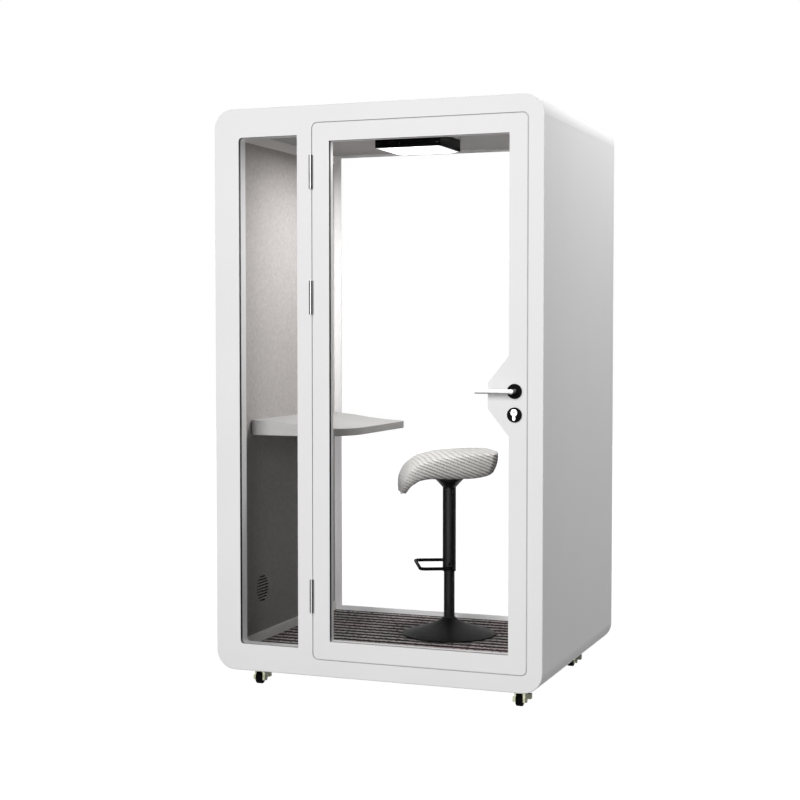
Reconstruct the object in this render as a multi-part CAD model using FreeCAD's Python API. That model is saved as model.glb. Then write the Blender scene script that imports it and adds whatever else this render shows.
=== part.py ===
"""Office booth for one person: a rounded shell on casters, with a glazed front whose door
carries a lever lock, a fully glazed back, felt walls, a wall desk, a ceiling light, a
ventilation fan and a height-adjustable stool.

Millimetres. +Z is up, +X is to the right of a person who stands in front of the door, and
-Y is the way the door opens. The origin lies on the floor under the middle of the whole
object, door lever included.
"""

import FreeCAD, Part
import math
import os

V = FreeCAD.Vector

# Driving sizes of the booth
overall_width = 1360.0
overall_height = 2300.0
shell_depth = 1130.0
wall = 60.0
corner_radius = 78.0
frame_depth = 60.0
caster_height = 60.0
edge_round = 4.0
soft_gap = 0.3
running_gap = 0.05
overrun = 5.0

# Layers of the walls, the roof and the floor
skin_thickness = 3.0
felt_thickness = 12.0
ceiling_thickness = 14.0
deck_thickness = 18.0
carpet_thickness = 5.0
base_sheet = 3.0
base_tube = 39.0
base_bays = 4
trim_height = 38.0
trim_thickness = 6.0

# Openings of the front and back frames
jamb_width = 60.0
top_rail = 67.0
bottom_rail = 66.0
side_stile = 106.0
hinge_post_width = 62.0
sidelight_sill = 107.5
sidelight_head = 113.6
sidelight_corner = 14.0
back_stile = 93.0
back_rail = 85.0
back_lip = 8.0
back_rebate = 30.0

# Glass and its gaskets
glass_inset = 2.0
gasket_lip = 5.0
glass_thickness = 8.0
gasket_back = 2.0
gasket_depth = 8.0
glass_bite = 6.0
back_gasket_inset = 5.0

# The door leaf
door_width_share = 0.64
door_gap = 4.0
door_thickness = 40.0
door_corner = 20.0
door_stile = 70.0
door_top_rail = 70.0
door_bottom_rail = 71.0
seal_thickness = 3.7
seal_width = 9.0
seal_inset = 1.0
lip_reach = 2.5
lip_thickness = 3.0
lip_depth = 2.5
stop_width = 15.0

# The widened part of the lock stile
bulge_depth = 82.0
bulge_flat = 96.0
bulge_slope = 103.0
bulge_centre_height = 1119.0

# Door hinges
hinge_length = 131.0
hinge_barrel_radius = 7.5
hinge_axis_reach = 8.0
hinge_pin_radius = 3.0
hinge_head = 3.0
hinge_knuckle_gap = 0.4
hinge_leaf_width = 32.0
hinge_leaf_thickness = 1.6
hinge_leaf_clear = 1.5
hinge_low_rise = 248.0
hinge_high_drop = 188.0
hinge_pair_spacing = 488.0
hinge_screw_radius = 2.5
hinge_screw_head_radius = 4.5
hinge_screw_length = 18.0

# Lock, latch and bolt
backset = 47.0
lever_above_bulge = 18.0
lock_centres = 79.0
case_depth = 90.0
case_thickness = 16.0
case_above_lever = 68.0
case_below_lever = 109.0
forend_thickness = 3.0
forend_width = 20.0
forend_length = 235.0
latch_height = 20.0
latch_thickness = 11.0
latch_throw = 11.0
latch_length = 34.0
latch_bevel = 5.0
bolt_height = 26.0
bolt_thickness = 10.0
bolt_length = 30.0
bolt_recess = 0.5
strike_thickness = 2.0
strike_width = 28.0
strike_margin = 22.0
strike_pocket = 18.0

# Levers, roses and key cylinder
rose_radius = 28.0
rose_thickness = 8.0
lever_length = 140.0
lever_bar_height = 17.0
lever_bar_depth = 12.0
lever_standoff = 48.0
lever_neck_radius = 9.0
lever_edge = 3.0
spindle_side = 8.0
spindle_grip = 34.0
hub_radius = 10.0
cylinder_radius = 8.5
cylinder_leg_width = 10.0
cylinder_height = 33.0
cylinder_proud = 10.0
cylinder_cap_radius = 13.0
cylinder_cap_leg = 11.0
cylinder_cap_height = 44.0
cylinder_cap_thickness = 1.5
plug_radius = 6.0
keyway_width = 2.0
keyway_height = 8.0
keyway_depth = 20.0
turn_length = 14.0
turn_width = 26.0
turn_thickness = 7.0
turn_stem = 6.0

# Desk and its brackets
desk_depth = 425.0
desk_width = 730.0
desk_from_mid_y = -20.0
desk_underside = 934.5
desk_root_height = 61.5
desk_edge_height = 29.5
desk_edge_flat = 5.0
desk_near_corner = 190.0
desk_far_corner = 70.0
desk_root_corner = 30.0
desk_edge_round = 2.5
bracket_spacing = 440.0
bracket_width = 30.0
bracket_thickness = 5.0
bracket_arm = 300.0
bracket_leg = 50.0
bracket_screw_radius = 3.0
bracket_screw_length = 40.0
bracket_leg_hole_share = 0.55
bracket_arm_hole_shares = (0.3, 0.85)
desk_screw_length = 24.0

# Ceiling light
light_length = 285.0
light_width = 255.0
light_height = 50.0
light_wall = 2.5
light_from_mid_x = -24.0
light_from_mid_y = 4.0
diffuser_thickness = 3.0
board_margin = 20.0
board_thickness = 2.0

# Ventilation fan behind the slots in the left wall
vent_from_mid_y = -265.0
vent_height = 282.0
vent_radius = 55.0
vent_slot_pitch = 12.4
vent_slot_height = 6.8
vent_slot_count = 9
fan_side = 120.0
fan_thickness = 25.0
fan_bore_radius = 56.0
fan_rotor_radius = 54.0
fan_hub_radius = 20.0
fan_hub_length = 19.0
fan_shaft_radius = 4.0
fan_back_plate = 3.0
fan_spoke_width = 8.0
fan_blade_count = 7
fan_blade_chord = 24.0
fan_blade_thickness = 2.0
fan_blade_pitch_deg = 32.0

# Cable gland in the bottom sheet
gland_inset = 60.0
gland_radius = 10.0
gland_body_length = 22.0
gland_hex_radius = 13.0
gland_hex_height = 8.0
gland_nut_height = 5.0
gland_bore_radius = 4.0

# Light switch on the right wall
switch_plate_side = 82.0
switch_plate_thickness = 11.0
switch_back = 1.5
switch_from_mid_y = -300.0
switch_height = 1100.0
rocker_width = 26.0
rocker_length = 46.0
rocker_thickness = 8.0
rocker_proud = 3.0
rocker_clear = 1.0
rocker_swing_deg = 8.0
rocker_pin_radius = 1.5
rocker_pin_grip = 4.0

# Casters
caster_left_inset = 168.0
caster_right_inset = 102.0
caster_front_inset = 68.0
caster_rear_inset = 299.0
caster_plate_side = 60.0
caster_plate_thickness = 4.0
caster_bolt_inset = 8.0
caster_bolt_radius = 3.0
caster_bolt_head_radius = 5.0
caster_bolt_head = 4.0
caster_bolt_length = 24.0
caster_trail = 15.0
bearing_radius = 17.0
bearing_height = 4.0
kingpin_radius = 5.0
kingpin_length = 6.0
crown_radius = 20.0
crown_thickness = 2.5
wheel_radius = 24.0
wheel_width = 25.0
wheel_edge = 3.0
fork_gap = 1.2
fork_leg_thickness = 6.5
fork_leg_width = 20.0
fork_leg_drop = 9.0
axle_radius = 4.0
axle_head_radius = 11.0
axle_head = 7.0
wheel_recess_radius = 14.0
wheel_recess_depth = 2.0
brake_length = 26.0
brake_width = 20.0
brake_height = 20.0
brake_above_floor = 31.0
brake_edge = 2.0

# Stool
stool_from_mid_x = 72.5
stool_from_mid_y = 131.0
stool_heading_deg = 205.2
base_radius = 198.5
base_rim = 5.0
base_shoulder_radius = 130.0
base_shoulder_height = 32.0
base_flare_radius = 52.0
base_flare_share = 0.57
base_neck_radius = 26.0
base_neck_height = 74.0
column_radius = 23.2
column_bore_radius = 14.2
column_guide_length = 30.0
column_height = 435.0
sleeve_radius = 28.5
sleeve_start = 272.0
sleeve_top = 631.0
piston_radius = 10.0
piston_head_length = 12.0
piston_grip = 24.0
stool_rise = 30.0
cone_radius = 59.5
cone_height = 33.5
seat_disc_thickness = 8.0
footrest_height = 300.0
footrest_reach = 135.0
footrest_width = 262.0
footrest_rod_radius = 7.0
footrest_corner = 22.0
lift_rod_radius = 3.5
lift_rod_length = 122.0
lift_rod_rise = 10.0
lift_pivot_reach = 32.0
lift_tail = 8.0
lift_pin_radius = 1.5
lift_pin_length = 16.0
lift_knob_radius = 7.0
lift_knob_length = 28.0
lift_slot_clear = 0.5
lift_slot_height = 19.0

# Stool seat
seat_length = 402.4
seat_ahead = 208.5
seat_width = 390.0
seat_thickness = 121.0
seat_top_height = 791.5
seat_fall = 193.0

# Sections of the stool seat from its rear end to its front lip: how far along its length, how
# far the middle lies below the top as a share of the fall, the lean towards the front, the
# thickness, the width, and how high the ridge lies as a share of the half thickness
seat_station_shares = (0.005, 0.02, 0.05, 0.1, 0.204, 0.43, 0.656, 0.819, 0.927, 0.975, 0.993)
seat_drop_shares = (0.266, 0.27, 0.276, 0.287, 0.305, 0.315, 0.336, 0.409, 0.568, 0.706, 0.855)
seat_lean_deg = (-11.4, -12.2, -13.4, -12.9, -7.3, 2.0, 13.6, 29.4, 49.0, 64.4, 75.5)
seat_thickness_shares = (0.757, 0.787, 0.843, 0.905, 0.96, 0.989, 0.937, 0.793, 0.563, 0.33, 0.194)
seat_width_shares = (0.264, 0.513, 0.756, 0.915, 0.954, 1.0, 0.985, 0.923, 0.841, 0.773, 0.64)
seat_shoulder_shares = (0.969, 0.966, 0.961, 0.952, 0.93, 0.82, 0.68, 0.6, 0.56, 0.551, 0.55)
seat_bulge_share = 1.03
seat_foot_share = 0.777
seat_foot_drop_share = 0.8635

# Places that follow from the sizes above
half_width = overall_width / 2
door_width = overall_width * door_width_share
inner_x = half_width - wall
straight_x = half_width - corner_radius
handle_reach = lever_standoff + lever_bar_depth / 2
front_y = (handle_reach - shell_depth) / 2
back_y = front_y + shell_depth
mid_y = (front_y + back_y) / 2
inner_front_y = front_y + frame_depth
inner_back_y = back_y - frame_depth
shell_low = caster_height
shell_high = overall_height
straight_low = shell_low + corner_radius
straight_high = shell_high - corner_radius
deck_top = shell_low + wall
carpet_top = deck_top + carpet_thickness
roof_under = shell_high - wall
ceiling_z = roof_under - ceiling_thickness
felt_back_x = inner_x + felt_thickness
skin_inner_x = half_width - skin_thickness

opening_right = half_width - jamb_width
opening_left = opening_right - door_width - 2 * door_gap
opening_low = shell_low + bottom_rail
opening_high = shell_high - top_rail
leaf_left = opening_left + door_gap
leaf_right = opening_right - door_gap
leaf_low = opening_low + door_gap
leaf_high = opening_high - door_gap
leaf_back_y = front_y + door_thickness
stop_y = leaf_back_y + soft_gap + seal_thickness
pane_left = leaf_left + door_stile
pane_right = leaf_right - door_stile
pane_low = leaf_low + door_bottom_rail
pane_high = leaf_high - door_top_rail
bulge_z = shell_low + bulge_centre_height
sidelight_left = -half_width + side_stile
sidelight_right = opening_left - hinge_post_width
sidelight_low = shell_low + sidelight_sill
sidelight_high = shell_high - sidelight_head

hinge_x = opening_left
hinge_y = front_y - hinge_axis_reach
hinge_centres = (
    leaf_low + hinge_low_rise,
    leaf_high - hinge_high_drop - hinge_pair_spacing,
    leaf_high - hinge_high_drop,
)
lever_x = leaf_right - backset
lever_z = bulge_z + lever_above_bulge
cylinder_z = lever_z - lock_centres
rose_drop = cylinder_cap_height / 2 - cylinder_cap_radius
key_rose_z = cylinder_z - rose_drop
lock_mid_y = front_y + door_thickness / 2
case_right = leaf_right - forend_thickness
case_left = case_right - case_depth
case_high = lever_z + case_above_lever
case_low = lever_z - case_below_lever

desk_low = shell_low + desk_underside
desk_edge_x = -inner_x + desk_depth
desk_near_y = mid_y + desk_from_mid_y - desk_width / 2
vent_y = mid_y + vent_from_mid_y
vent_z = shell_low + vent_height
light_x = light_from_mid_x
light_y = mid_y + light_from_mid_y
light_low = ceiling_z - light_height
switch_y = mid_y + switch_from_mid_y
switch_z = deck_top + switch_height

caster_left_x = caster_left_inset - half_width
caster_right_x = half_width - caster_right_inset
caster_places = [
    (caster_left_x, front_y + caster_front_inset),
    (caster_right_x, front_y + caster_front_inset),
    (caster_left_x, back_y - caster_rear_inset),
    (caster_right_x, back_y - caster_rear_inset),
]
caster_names = ("front_left", "front_right", "rear_left", "rear_right")
plate_low = caster_height - caster_plate_thickness
bearing_low = plate_low - bearing_height
crown_high = bearing_low - soft_gap
crown_low = crown_high - crown_thickness
fork_inner = wheel_width / 2 + fork_gap
fork_outer = fork_inner + fork_leg_thickness

stool_x = stool_from_mid_x
stool_y = mid_y + stool_from_mid_y
column_top = carpet_top + column_height
sleeve_low = carpet_top + sleeve_start
sleeve_high = carpet_top + sleeve_top
cone_high = sleeve_high + cone_height
seat_disc_high = cone_high + seat_disc_thickness
lift_z = sleeve_high + lift_rod_rise


def block(x0, x1, y0, y1, z0, z1):
    """Box between two corners, given as spans along X, Y and Z."""
    low = V(min(x0, x1), min(y0, y1), min(z0, z1))
    return Part.makeBox(abs(x1 - x0), abs(y1 - y0), abs(z1 - z0), low)


def rod(radius, start, end):
    """Round bar of a radius from one point to another."""
    run = end - start
    return Part.makeCylinder(radius, run.Length, start, run)


def rod_y(radius, x, z, y0, y1):
    """Round bar along Y."""
    return rod(radius, V(x, y0, z), V(x, y1, z))


def rod_z(radius, x, y, z0, z1):
    """Round bar along Z."""
    return rod(radius, V(x, y, z0), V(x, y, z1))


def rounded_outline(x0, x1, z0, z1, radii, y):
    """Rectangle in a plane of constant y, whose corners have the radii low left, low right,
    high right and high left; a radius of zero leaves the corner square."""
    low_left, low_right, high_right, high_left = radii
    corners = (
        (x0, z0, 1, 1, low_left),
        (x1, z0, -1, 1, low_right),
        (x1, z1, -1, -1, high_right),
        (x0, z1, 1, -1, high_left),
    )
    bend = 1 - math.sqrt(1 / 2)
    points = []
    for number, (x, z, sx, sz, radius) in enumerate(corners):
        along_z = V(x, y, z + sz * radius)
        along_x = V(x + sx * radius, y, z)
        middle = V(x + sx * radius * bend, y, z + sz * radius * bend)
        ends = (along_z, along_x) if number % 2 == 0 else (along_x, along_z)
        points.append((ends[0], middle, ends[1], radius))
    edges = []
    for number, (start, middle, end, radius) in enumerate(points):
        if radius > 0:
            edges.append(Part.Arc(start, middle, end).toShape())
        following = points[(number + 1) % len(points)][0]
        edges.append(Part.makeLine(end, following))
    return Part.Wire(edges)


def slab_y(wire, y0, y1):
    """Solid from an outline that lies in a plane of constant y0, carried along Y to y1."""
    return Part.Face(wire).extrude(V(0, y1 - y0, 0))


def rounded_slab(x0, x1, z0, z1, radii, y0, y1):
    """Slab along Y with rounded corners."""
    return slab_y(rounded_outline(x0, x1, z0, z1, radii, y0), y0, y1)


def pane_outline(growth, y):
    """Outline of the door's window, which steps round the widened lock stile, grown outwards
    by an even distance."""
    half_flat = bulge_flat / 2
    half_whole = half_flat + bulge_slope
    slant = math.hypot(bulge_depth, bulge_slope)
    corner = growth * (slant - bulge_slope) / bulge_depth
    right = pane_right + growth
    flat = pane_right - bulge_depth + growth
    points = [
        V(pane_left - growth, y, pane_low - growth),
        V(right, y, pane_low - growth),
        V(right, y, bulge_z - half_whole + corner),
        V(flat, y, bulge_z - half_flat + corner),
        V(flat, y, bulge_z + half_flat - corner),
        V(right, y, bulge_z + half_whole - corner),
        V(right, y, pane_high + growth),
        V(pane_left - growth, y, pane_high + growth),
    ]
    return Part.makePolygon(points + [points[0]])


def shell_ring(y0, y1):
    """The full rounded front view of the shell as a slab."""
    radii = (corner_radius,) * 4
    return rounded_slab(-half_width, half_width, shell_low, shell_high, radii, y0, y1)


def ease_edges(shape, y):
    """Round the outer edge of a frame that lies in its outward face."""
    rim = []
    for edge in shape.Edges:
        box = edge.BoundBox
        in_face = abs(box.YMin - y) < soft_gap and abs(box.YMax - y) < soft_gap
        across = max(box.XMax, -box.XMin) > half_width - soft_gap
        upright = box.ZMax > shell_high - soft_gap or box.ZMin < shell_low + soft_gap
        if in_face and (across or upright):
            rim.append(edge)
    return shape.makeFillet(edge_round, rim)


def caster_bolts():
    """Four bolts for each caster plate, heads below it."""
    reach = caster_plate_side / 2 - caster_bolt_inset
    bolts = []
    for x, y in caster_places:
        for sx in (-1, 1):
            for sy in (-1, 1):
                bx, by = x + sx * reach, y + sy * reach
                shank_top = plate_low + caster_bolt_length
                shank = rod_z(caster_bolt_radius, bx, by, plate_low, shank_top)
                head = rod_z(caster_bolt_head_radius, bx, by, plate_low - caster_bolt_head, plate_low)
                bolts.append(shank.fuse(head).removeSplitter())
    return bolts


def hinge_leaf_screws(side):
    """Countersunk screws through the hinge leaves, into the post (-1) or the door (1)."""
    face_x = opening_left if side < 0 else leaf_left
    leaf_x = face_x - side * hinge_leaf_thickness
    end_x = face_x + side * hinge_screw_length
    y = front_y + hinge_leaf_clear + hinge_leaf_width / 2
    screws = []
    for centre in hinge_centres:
        for step in (-1, 0, 1):
            z = centre + step * hinge_length / 3
            run = V(face_x - leaf_x, 0, 0)
            head = Part.makeCone(
                hinge_screw_head_radius, hinge_screw_radius, run.Length, V(leaf_x, y, z), run
            )
            shank = rod(hinge_screw_radius, V(face_x, y, z), V(end_x, y, z))
            screws.append(head.fuse(shank).removeSplitter())
    return screws


def vent_slots(x0, x1):
    """Level slots whose ends follow a circle, cut from x0 to x1."""
    slots = []
    for number in range(vent_slot_count):
        rise = (number - (vent_slot_count - 1) / 2) * vent_slot_pitch
        half = math.sqrt(vent_radius**2 - rise**2)
        z = vent_z + rise
        slots.append(
            block(x0, x1, vent_y - half, vent_y + half, z - vent_slot_height / 2, z + vent_slot_height / 2)
        )
    return slots


def sidelight_glazing():
    """Groove, gasket and pane of the side window, close behind the front frame's face."""
    x0, x1, z0, z1 = sidelight_span
    grown = [radius + gasket_depth if radius > 0 else 0.0 for radius in sidelight_radii]
    bitten = [radius + glass_bite if radius > 0 else 0.0 for radius in sidelight_radii]
    groove_y = front_y + glass_inset
    pane_y = groove_y + gasket_lip
    end_y = pane_y + glass_thickness + gasket_back
    groove = rounded_slab(
        x0 - gasket_depth, x1 + gasket_depth, z0 - gasket_depth, z1 + gasket_depth, grown, groove_y, end_y
    )
    pane = rounded_slab(
        x0 - glass_bite, x1 + glass_bite, z0 - glass_bite, z1 + glass_bite, bitten, pane_y,
        pane_y + glass_thickness
    )
    light = rounded_slab(x0, x1, z0, z1, sidelight_radii, groove_y - overrun, end_y + overrun)
    return groove, groove.cut([light, pane]), pane


def back_slab(growth, y0, y1):
    """Slab over the back window's opening, grown evenly on its four sides."""
    x0, x1, z0, z1 = back_span
    return block(x0 - growth, x1 + growth, y0, y1, z0 - growth, z1 + growth)


def back_glazing():
    """Groove, gasket and pane of the back window, which stand behind a slim inner lip."""
    lip_y = inner_back_y + back_lip
    pane_y = lip_y + gasket_back
    pane_end_y = pane_y + glass_thickness
    end_y = pane_end_y + gasket_lip
    groove = back_slab(back_rebate + gasket_depth, lip_y, end_y)
    pane = back_slab(back_rebate + glass_bite, pane_y, pane_end_y)
    inner = back_slab(back_gasket_inset, lip_y - overrun, pane_y + overrun)
    outer = back_slab(back_rebate, pane_end_y - overrun, end_y + overrun)
    return groove, groove.cut([pane, inner, outer]), pane


sidelight_radii = (sidelight_corner, 0.0, 0.0, sidelight_corner)
sidelight_span = (sidelight_left, sidelight_right, sidelight_low, sidelight_high)
back_span = (
    -half_width + back_stile,
    half_width - back_stile,
    shell_low + back_rail,
    shell_high - back_rail,
)


def strike_spans():
    """Spans along Y and Z of the latch's and the bolt's holes in the strike plate."""
    latch = (latch_thickness, latch_height, lever_z)
    bolt = (bolt_thickness, bolt_height, cylinder_z)
    spans = []
    for thickness, height, z in (latch, bolt):
        half_y = thickness / 2 + 2 * soft_gap
        half_z = height / 2 + 2 * soft_gap
        spans.append((lock_mid_y - half_y, lock_mid_y + half_y, z - half_z, z + half_z))
    return spans


def front_frame():
    """Welded front frame: ring, hinge post, door stop, glazing groove and strike pocket."""
    frame = shell_ring(front_y, inner_front_y)
    door_radii = (door_corner + door_gap,) * 4
    doorway = rounded_slab(
        opening_left, opening_right, opening_low, opening_high, door_radii, front_y - overrun, stop_y
    )
    through = rounded_slab(
        opening_left + stop_width,
        opening_right - stop_width,
        opening_low + stop_width,
        opening_high - stop_width,
        (door_corner + door_gap - stop_width,) * 4,
        front_y - overrun,
        inner_front_y + overrun,
    )
    light = rounded_slab(*sidelight_span, sidelight_radii, front_y - overrun, inner_front_y + overrun)
    frame = frame.cut([doorway, through, light, sidelight_glazing()[0]])
    frame = ease_edges(frame, front_y)
    return frame.cut(strike_recess() + hinge_leaf_screws(-1) + caster_bolts())


def strike_block():
    """The strike plate's whole outline as a block let into the jamb."""
    return block(
        opening_right,
        opening_right + strike_thickness,
        lock_mid_y - strike_width / 2,
        lock_mid_y + strike_width / 2,
        cylinder_z - bolt_height / 2 - strike_margin,
        lever_z + latch_height / 2 + strike_margin,
    )


def strike_recess():
    """Recess and pockets in the jamb for the strike plate, the latch and the bolt."""
    pockets = [
        block(opening_right, opening_right + strike_pocket, *span) for span in strike_spans()
    ]
    return [strike_block()] + pockets


def strike_plate():
    """Plate in the jamb with one hole for the latch and one for the bolt."""
    start = opening_right - overrun
    end = opening_right + strike_thickness + overrun
    return strike_block().cut([block(start, end, *span) for span in strike_spans()])


def back_frame():
    """Welded back frame: a slim lip round the large back window, rebated from outside."""
    frame = shell_ring(inner_back_y, back_y)
    light = back_slab(0.0, inner_back_y - overrun, back_y + overrun)
    rebate = back_slab(back_rebate, inner_back_y + back_lip, back_y + overrun)
    return ease_edges(frame.cut([light, rebate, back_glazing()[0]]), back_y)


def fixed_gaskets():
    """Black gaskets of the side window and of the back window."""
    return [sidelight_glazing()[1], back_glazing()[1]]


def sidelight_glass():
    """Fixed pane beside the door."""
    return sidelight_glazing()[2]


def back_glass():
    """Fixed pane that fills the back frame."""
    return back_glazing()[2]


def corner_posts():
    """Four quarter-round profiles that run from the front frame to the back frame."""
    posts = []
    lean = corner_radius * math.sqrt(1 / 2)
    for side in (-1, 1):
        for up in (-1, 1):
            centre_z = straight_high if up > 0 else straight_low
            centre_x = side * straight_x
            rim_z = shell_high if up > 0 else shell_low
            ledge_z = rim_z - up * wall
            y = inner_front_y
            arc = Part.Arc(
                V(side * half_width, y, centre_z),
                V(centre_x + side * lean, y, centre_z + up * lean),
                V(centre_x, y, rim_z),
            ).toShape()
            corners = [
                V(centre_x, y, rim_z),
                V(centre_x, y, ledge_z),
                V(side * inner_x, y, ledge_z),
                V(side * inner_x, y, centre_z),
                V(side * half_width, y, centre_z),
            ]
            edges = [arc] + [Part.makeLine(a, b) for a, b in zip(corners, corners[1:])]
            posts.append(slab_y(Part.Wire(edges), inner_front_y, inner_back_y))
    tools = caster_bolts()
    return [post.cut(tools) for post in posts]


def outer_skins():
    """Outer sheets of the left wall, the right wall and the roof."""
    left = block(-half_width, -skin_inner_x, inner_front_y, inner_back_y, straight_low, straight_high)
    right = block(skin_inner_x, half_width, inner_front_y, inner_back_y, straight_low, straight_high)
    roof = block(
        -straight_x, straight_x, inner_front_y, inner_back_y, shell_high - skin_thickness, shell_high
    )
    slots = vent_slots(-half_width - overrun, -skin_inner_x + overrun)
    left = left.cut(slots)
    return [left, right, roof]


def fan_block(growth):
    """The fan's square outline, grown evenly, from the felt outwards by its thickness."""
    half = fan_side / 2 + growth
    return block(
        -felt_back_x - fan_thickness, -felt_back_x, vent_y - half, vent_y + half, vent_z - half, vent_z + half
    )


def insulation():
    """Acoustic filling of both walls and the roof, with a duct through the left one."""
    duct_half = fan_side / 2
    duct = block(
        -skin_inner_x,
        -felt_back_x,
        vent_y - duct_half,
        vent_y + duct_half,
        vent_z - duct_half,
        vent_z + duct_half,
    )
    left = block(-skin_inner_x, -felt_back_x, inner_front_y, inner_back_y, straight_low, straight_high)
    right = block(felt_back_x, skin_inner_x, inner_front_y, inner_back_y, straight_low, straight_high)
    roof = block(
        -straight_x, straight_x, inner_front_y, inner_back_y, roof_under, shell_high - skin_thickness
    )
    return [left.cut([duct] + bracket_screws()), right, roof]


def felt_panels():
    """Inner felt panels; the left one has the ventilation slots."""
    left = block(-felt_back_x, -inner_x, inner_front_y, inner_back_y, straight_low, straight_high)
    right = block(inner_x, felt_back_x, inner_front_y, inner_back_y, straight_low, straight_high)
    slots = vent_slots(-felt_back_x - overrun, -inner_x + overrun)
    return [left.cut(slots + bracket_screws()), right]


def ceiling_panel():
    """Lining under the roof."""
    return block(-inner_x, inner_x, inner_front_y, inner_back_y, ceiling_z, roof_under)


def trim_strips():
    """Skirting on the deck and cornice under the ceiling, along both walls."""
    strips = []
    for side in (-1, 1):
        near, far = side * inner_x, side * (inner_x - trim_thickness)
        strips.append(
            block(near, far, inner_front_y, inner_back_y, deck_top, carpet_top + trim_height)
        )
        strips.append(
            block(near, far, inner_front_y, inner_back_y, ceiling_z - trim_height, ceiling_z)
        )
    return strips


def floor_bay():
    """Clear width of one bay between the floor frame's tubes."""
    return (2 * straight_x - (base_bays + 1) * base_tube) / base_bays


def base_frame():
    """Welded floor frame: a closed bottom sheet, a ring of square tube and cross bars."""
    sheet_top = shell_low + base_sheet
    high = deck_top - deck_thickness
    sheet = block(-straight_x, straight_x, inner_front_y, inner_back_y, shell_low, sheet_top)
    whole = block(-straight_x, straight_x, inner_front_y, inner_back_y, sheet_top, high)
    bay = floor_bay()
    y0, y1 = inner_front_y + base_tube, inner_back_y - base_tube
    pockets = []
    for number in range(base_bays):
        x = -straight_x + base_tube + number * (bay + base_tube)
        pockets.append(block(x, x + bay, y0, y1, sheet_top, high))
    frame = sheet.fuse(whole.cut(pockets)).removeSplitter()
    return frame.cut(caster_bolts() + [gland_body()])


def floor_deck():
    """Plywood deck on the floor frame."""
    return block(
        -straight_x, straight_x, inner_front_y, inner_back_y, deck_top - deck_thickness, deck_top
    )


def carpet():
    """Ribbed carpet between the skirtings."""
    reach = inner_x - trim_thickness
    return block(-reach, reach, inner_front_y, inner_back_y, deck_top, carpet_top)


def leaf_ring(outward, inward, y0, y1):
    """Ring along the door's edge, from a distance outside it to a distance inside it."""
    spans = []
    for growth, ends in ((outward, 0.0), (-inward, overrun)):
        spans.append(
            rounded_slab(
                leaf_left - growth,
                leaf_right + growth,
                leaf_low - growth,
                leaf_high + growth,
                (door_corner + growth,) * 4,
                y0 - ends,
                y1 + ends,
            )
        )
    return spans[0].cut(spans[1])


def door_seal():
    """Compression seal on the back of the leaf and a soft lip in the gap round its edge, which
    stops short of the three hinges."""
    inset = seal_inset + seal_width
    seal = leaf_ring(-seal_inset, inset, leaf_back_y, leaf_back_y + seal_thickness)
    lip_y = front_y + lip_depth
    lip = leaf_ring(lip_reach, 0.0, lip_y, lip_y + lip_thickness)
    reach = hinge_length / 2 + soft_gap
    gaps = [
        block(opening_left, leaf_left, front_y, leaf_back_y, centre - reach, centre + reach)
        for centre in hinge_centres
    ]
    return [seal, lip.cut(gaps)]


def profile_bar(radius, leg, height, top_z, y0, y1):
    """Round bar with a narrower leg below it, the usual shape of a key cylinder."""
    round_part = rod_y(radius, lever_x, top_z, y0, y1)
    foot_z = top_z + radius - height + leg / 2
    leg_part = block(lever_x - leg / 2, lever_x + leg / 2, y0, y1, foot_z, top_z)
    toe = rod_y(leg / 2, lever_x, foot_z, y0, y1)
    return round_part.fuse([leg_part, toe]).removeSplitter()


def cylinder_bar():
    """The key cylinder's bar through the door, from rose to rose."""
    start = front_y - cylinder_proud
    end = leaf_back_y + cylinder_proud
    return profile_bar(cylinder_radius, cylinder_leg_width, cylinder_height, cylinder_z, start, end)


def case_block():
    """The lock case and its forend as one block each."""
    body = block(
        case_left,
        case_right,
        lock_mid_y - case_thickness / 2,
        lock_mid_y + case_thickness / 2,
        case_low,
        case_high,
    )
    middle = (case_low + case_high) / 2
    forend = block(
        case_right,
        leaf_right,
        lock_mid_y - forend_width / 2,
        lock_mid_y + forend_width / 2,
        middle - forend_length / 2,
        middle + forend_length / 2,
    )
    return body.fuse(forend).removeSplitter()


def forend_screws():
    """Two screws through the forend into the door's edge."""
    middle = (case_low + case_high) / 2
    reach = (forend_length + case_high - case_low) / 4
    return [
        rod(
            hinge_screw_radius,
            V(leaf_right, lock_mid_y, middle + side * reach),
            V(leaf_right - hinge_screw_length, lock_mid_y, middle + side * reach),
        )
        for side in (-1, 1)
    ]


def latch_channel(growth):
    """Span of the latch's tail and head along X, Y and Z at rest, grown evenly."""
    half_y = latch_thickness / 2 + growth
    half_z = latch_height / 2 + growth
    return (lock_mid_y - half_y, lock_mid_y + half_y, lever_z - half_z, lever_z + half_z)


def bolt_channel(growth):
    """Span of the dead bolt along Y and Z, grown evenly."""
    half_y = bolt_thickness / 2 + growth
    half_z = bolt_height / 2 + growth
    return (lock_mid_y - half_y, lock_mid_y + half_y, cylinder_z - half_z, cylinder_z + half_z)


def lock_case():
    """Mortice lock case with its forend; channels for the latch, the bolt, the lever's hub
    and the key cylinder."""
    case = case_block()
    latch_end = leaf_right + latch_throw - latch_length
    latch_room = block(
        latch_end - latch_throw - soft_gap, leaf_right + overrun, *latch_channel(soft_gap)
    )
    bolt_end = leaf_right - bolt_recess - bolt_length
    bolt_room = block(bolt_end - soft_gap, leaf_right + overrun, *bolt_channel(soft_gap))
    hub_room = rod_y(
        hub_radius + running_gap, lever_x, lever_z, lock_mid_y - case_thickness, lock_mid_y + case_thickness
    )
    return case.cut([latch_room, bolt_room, hub_room, cylinder_bar()] + forend_screws())


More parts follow.
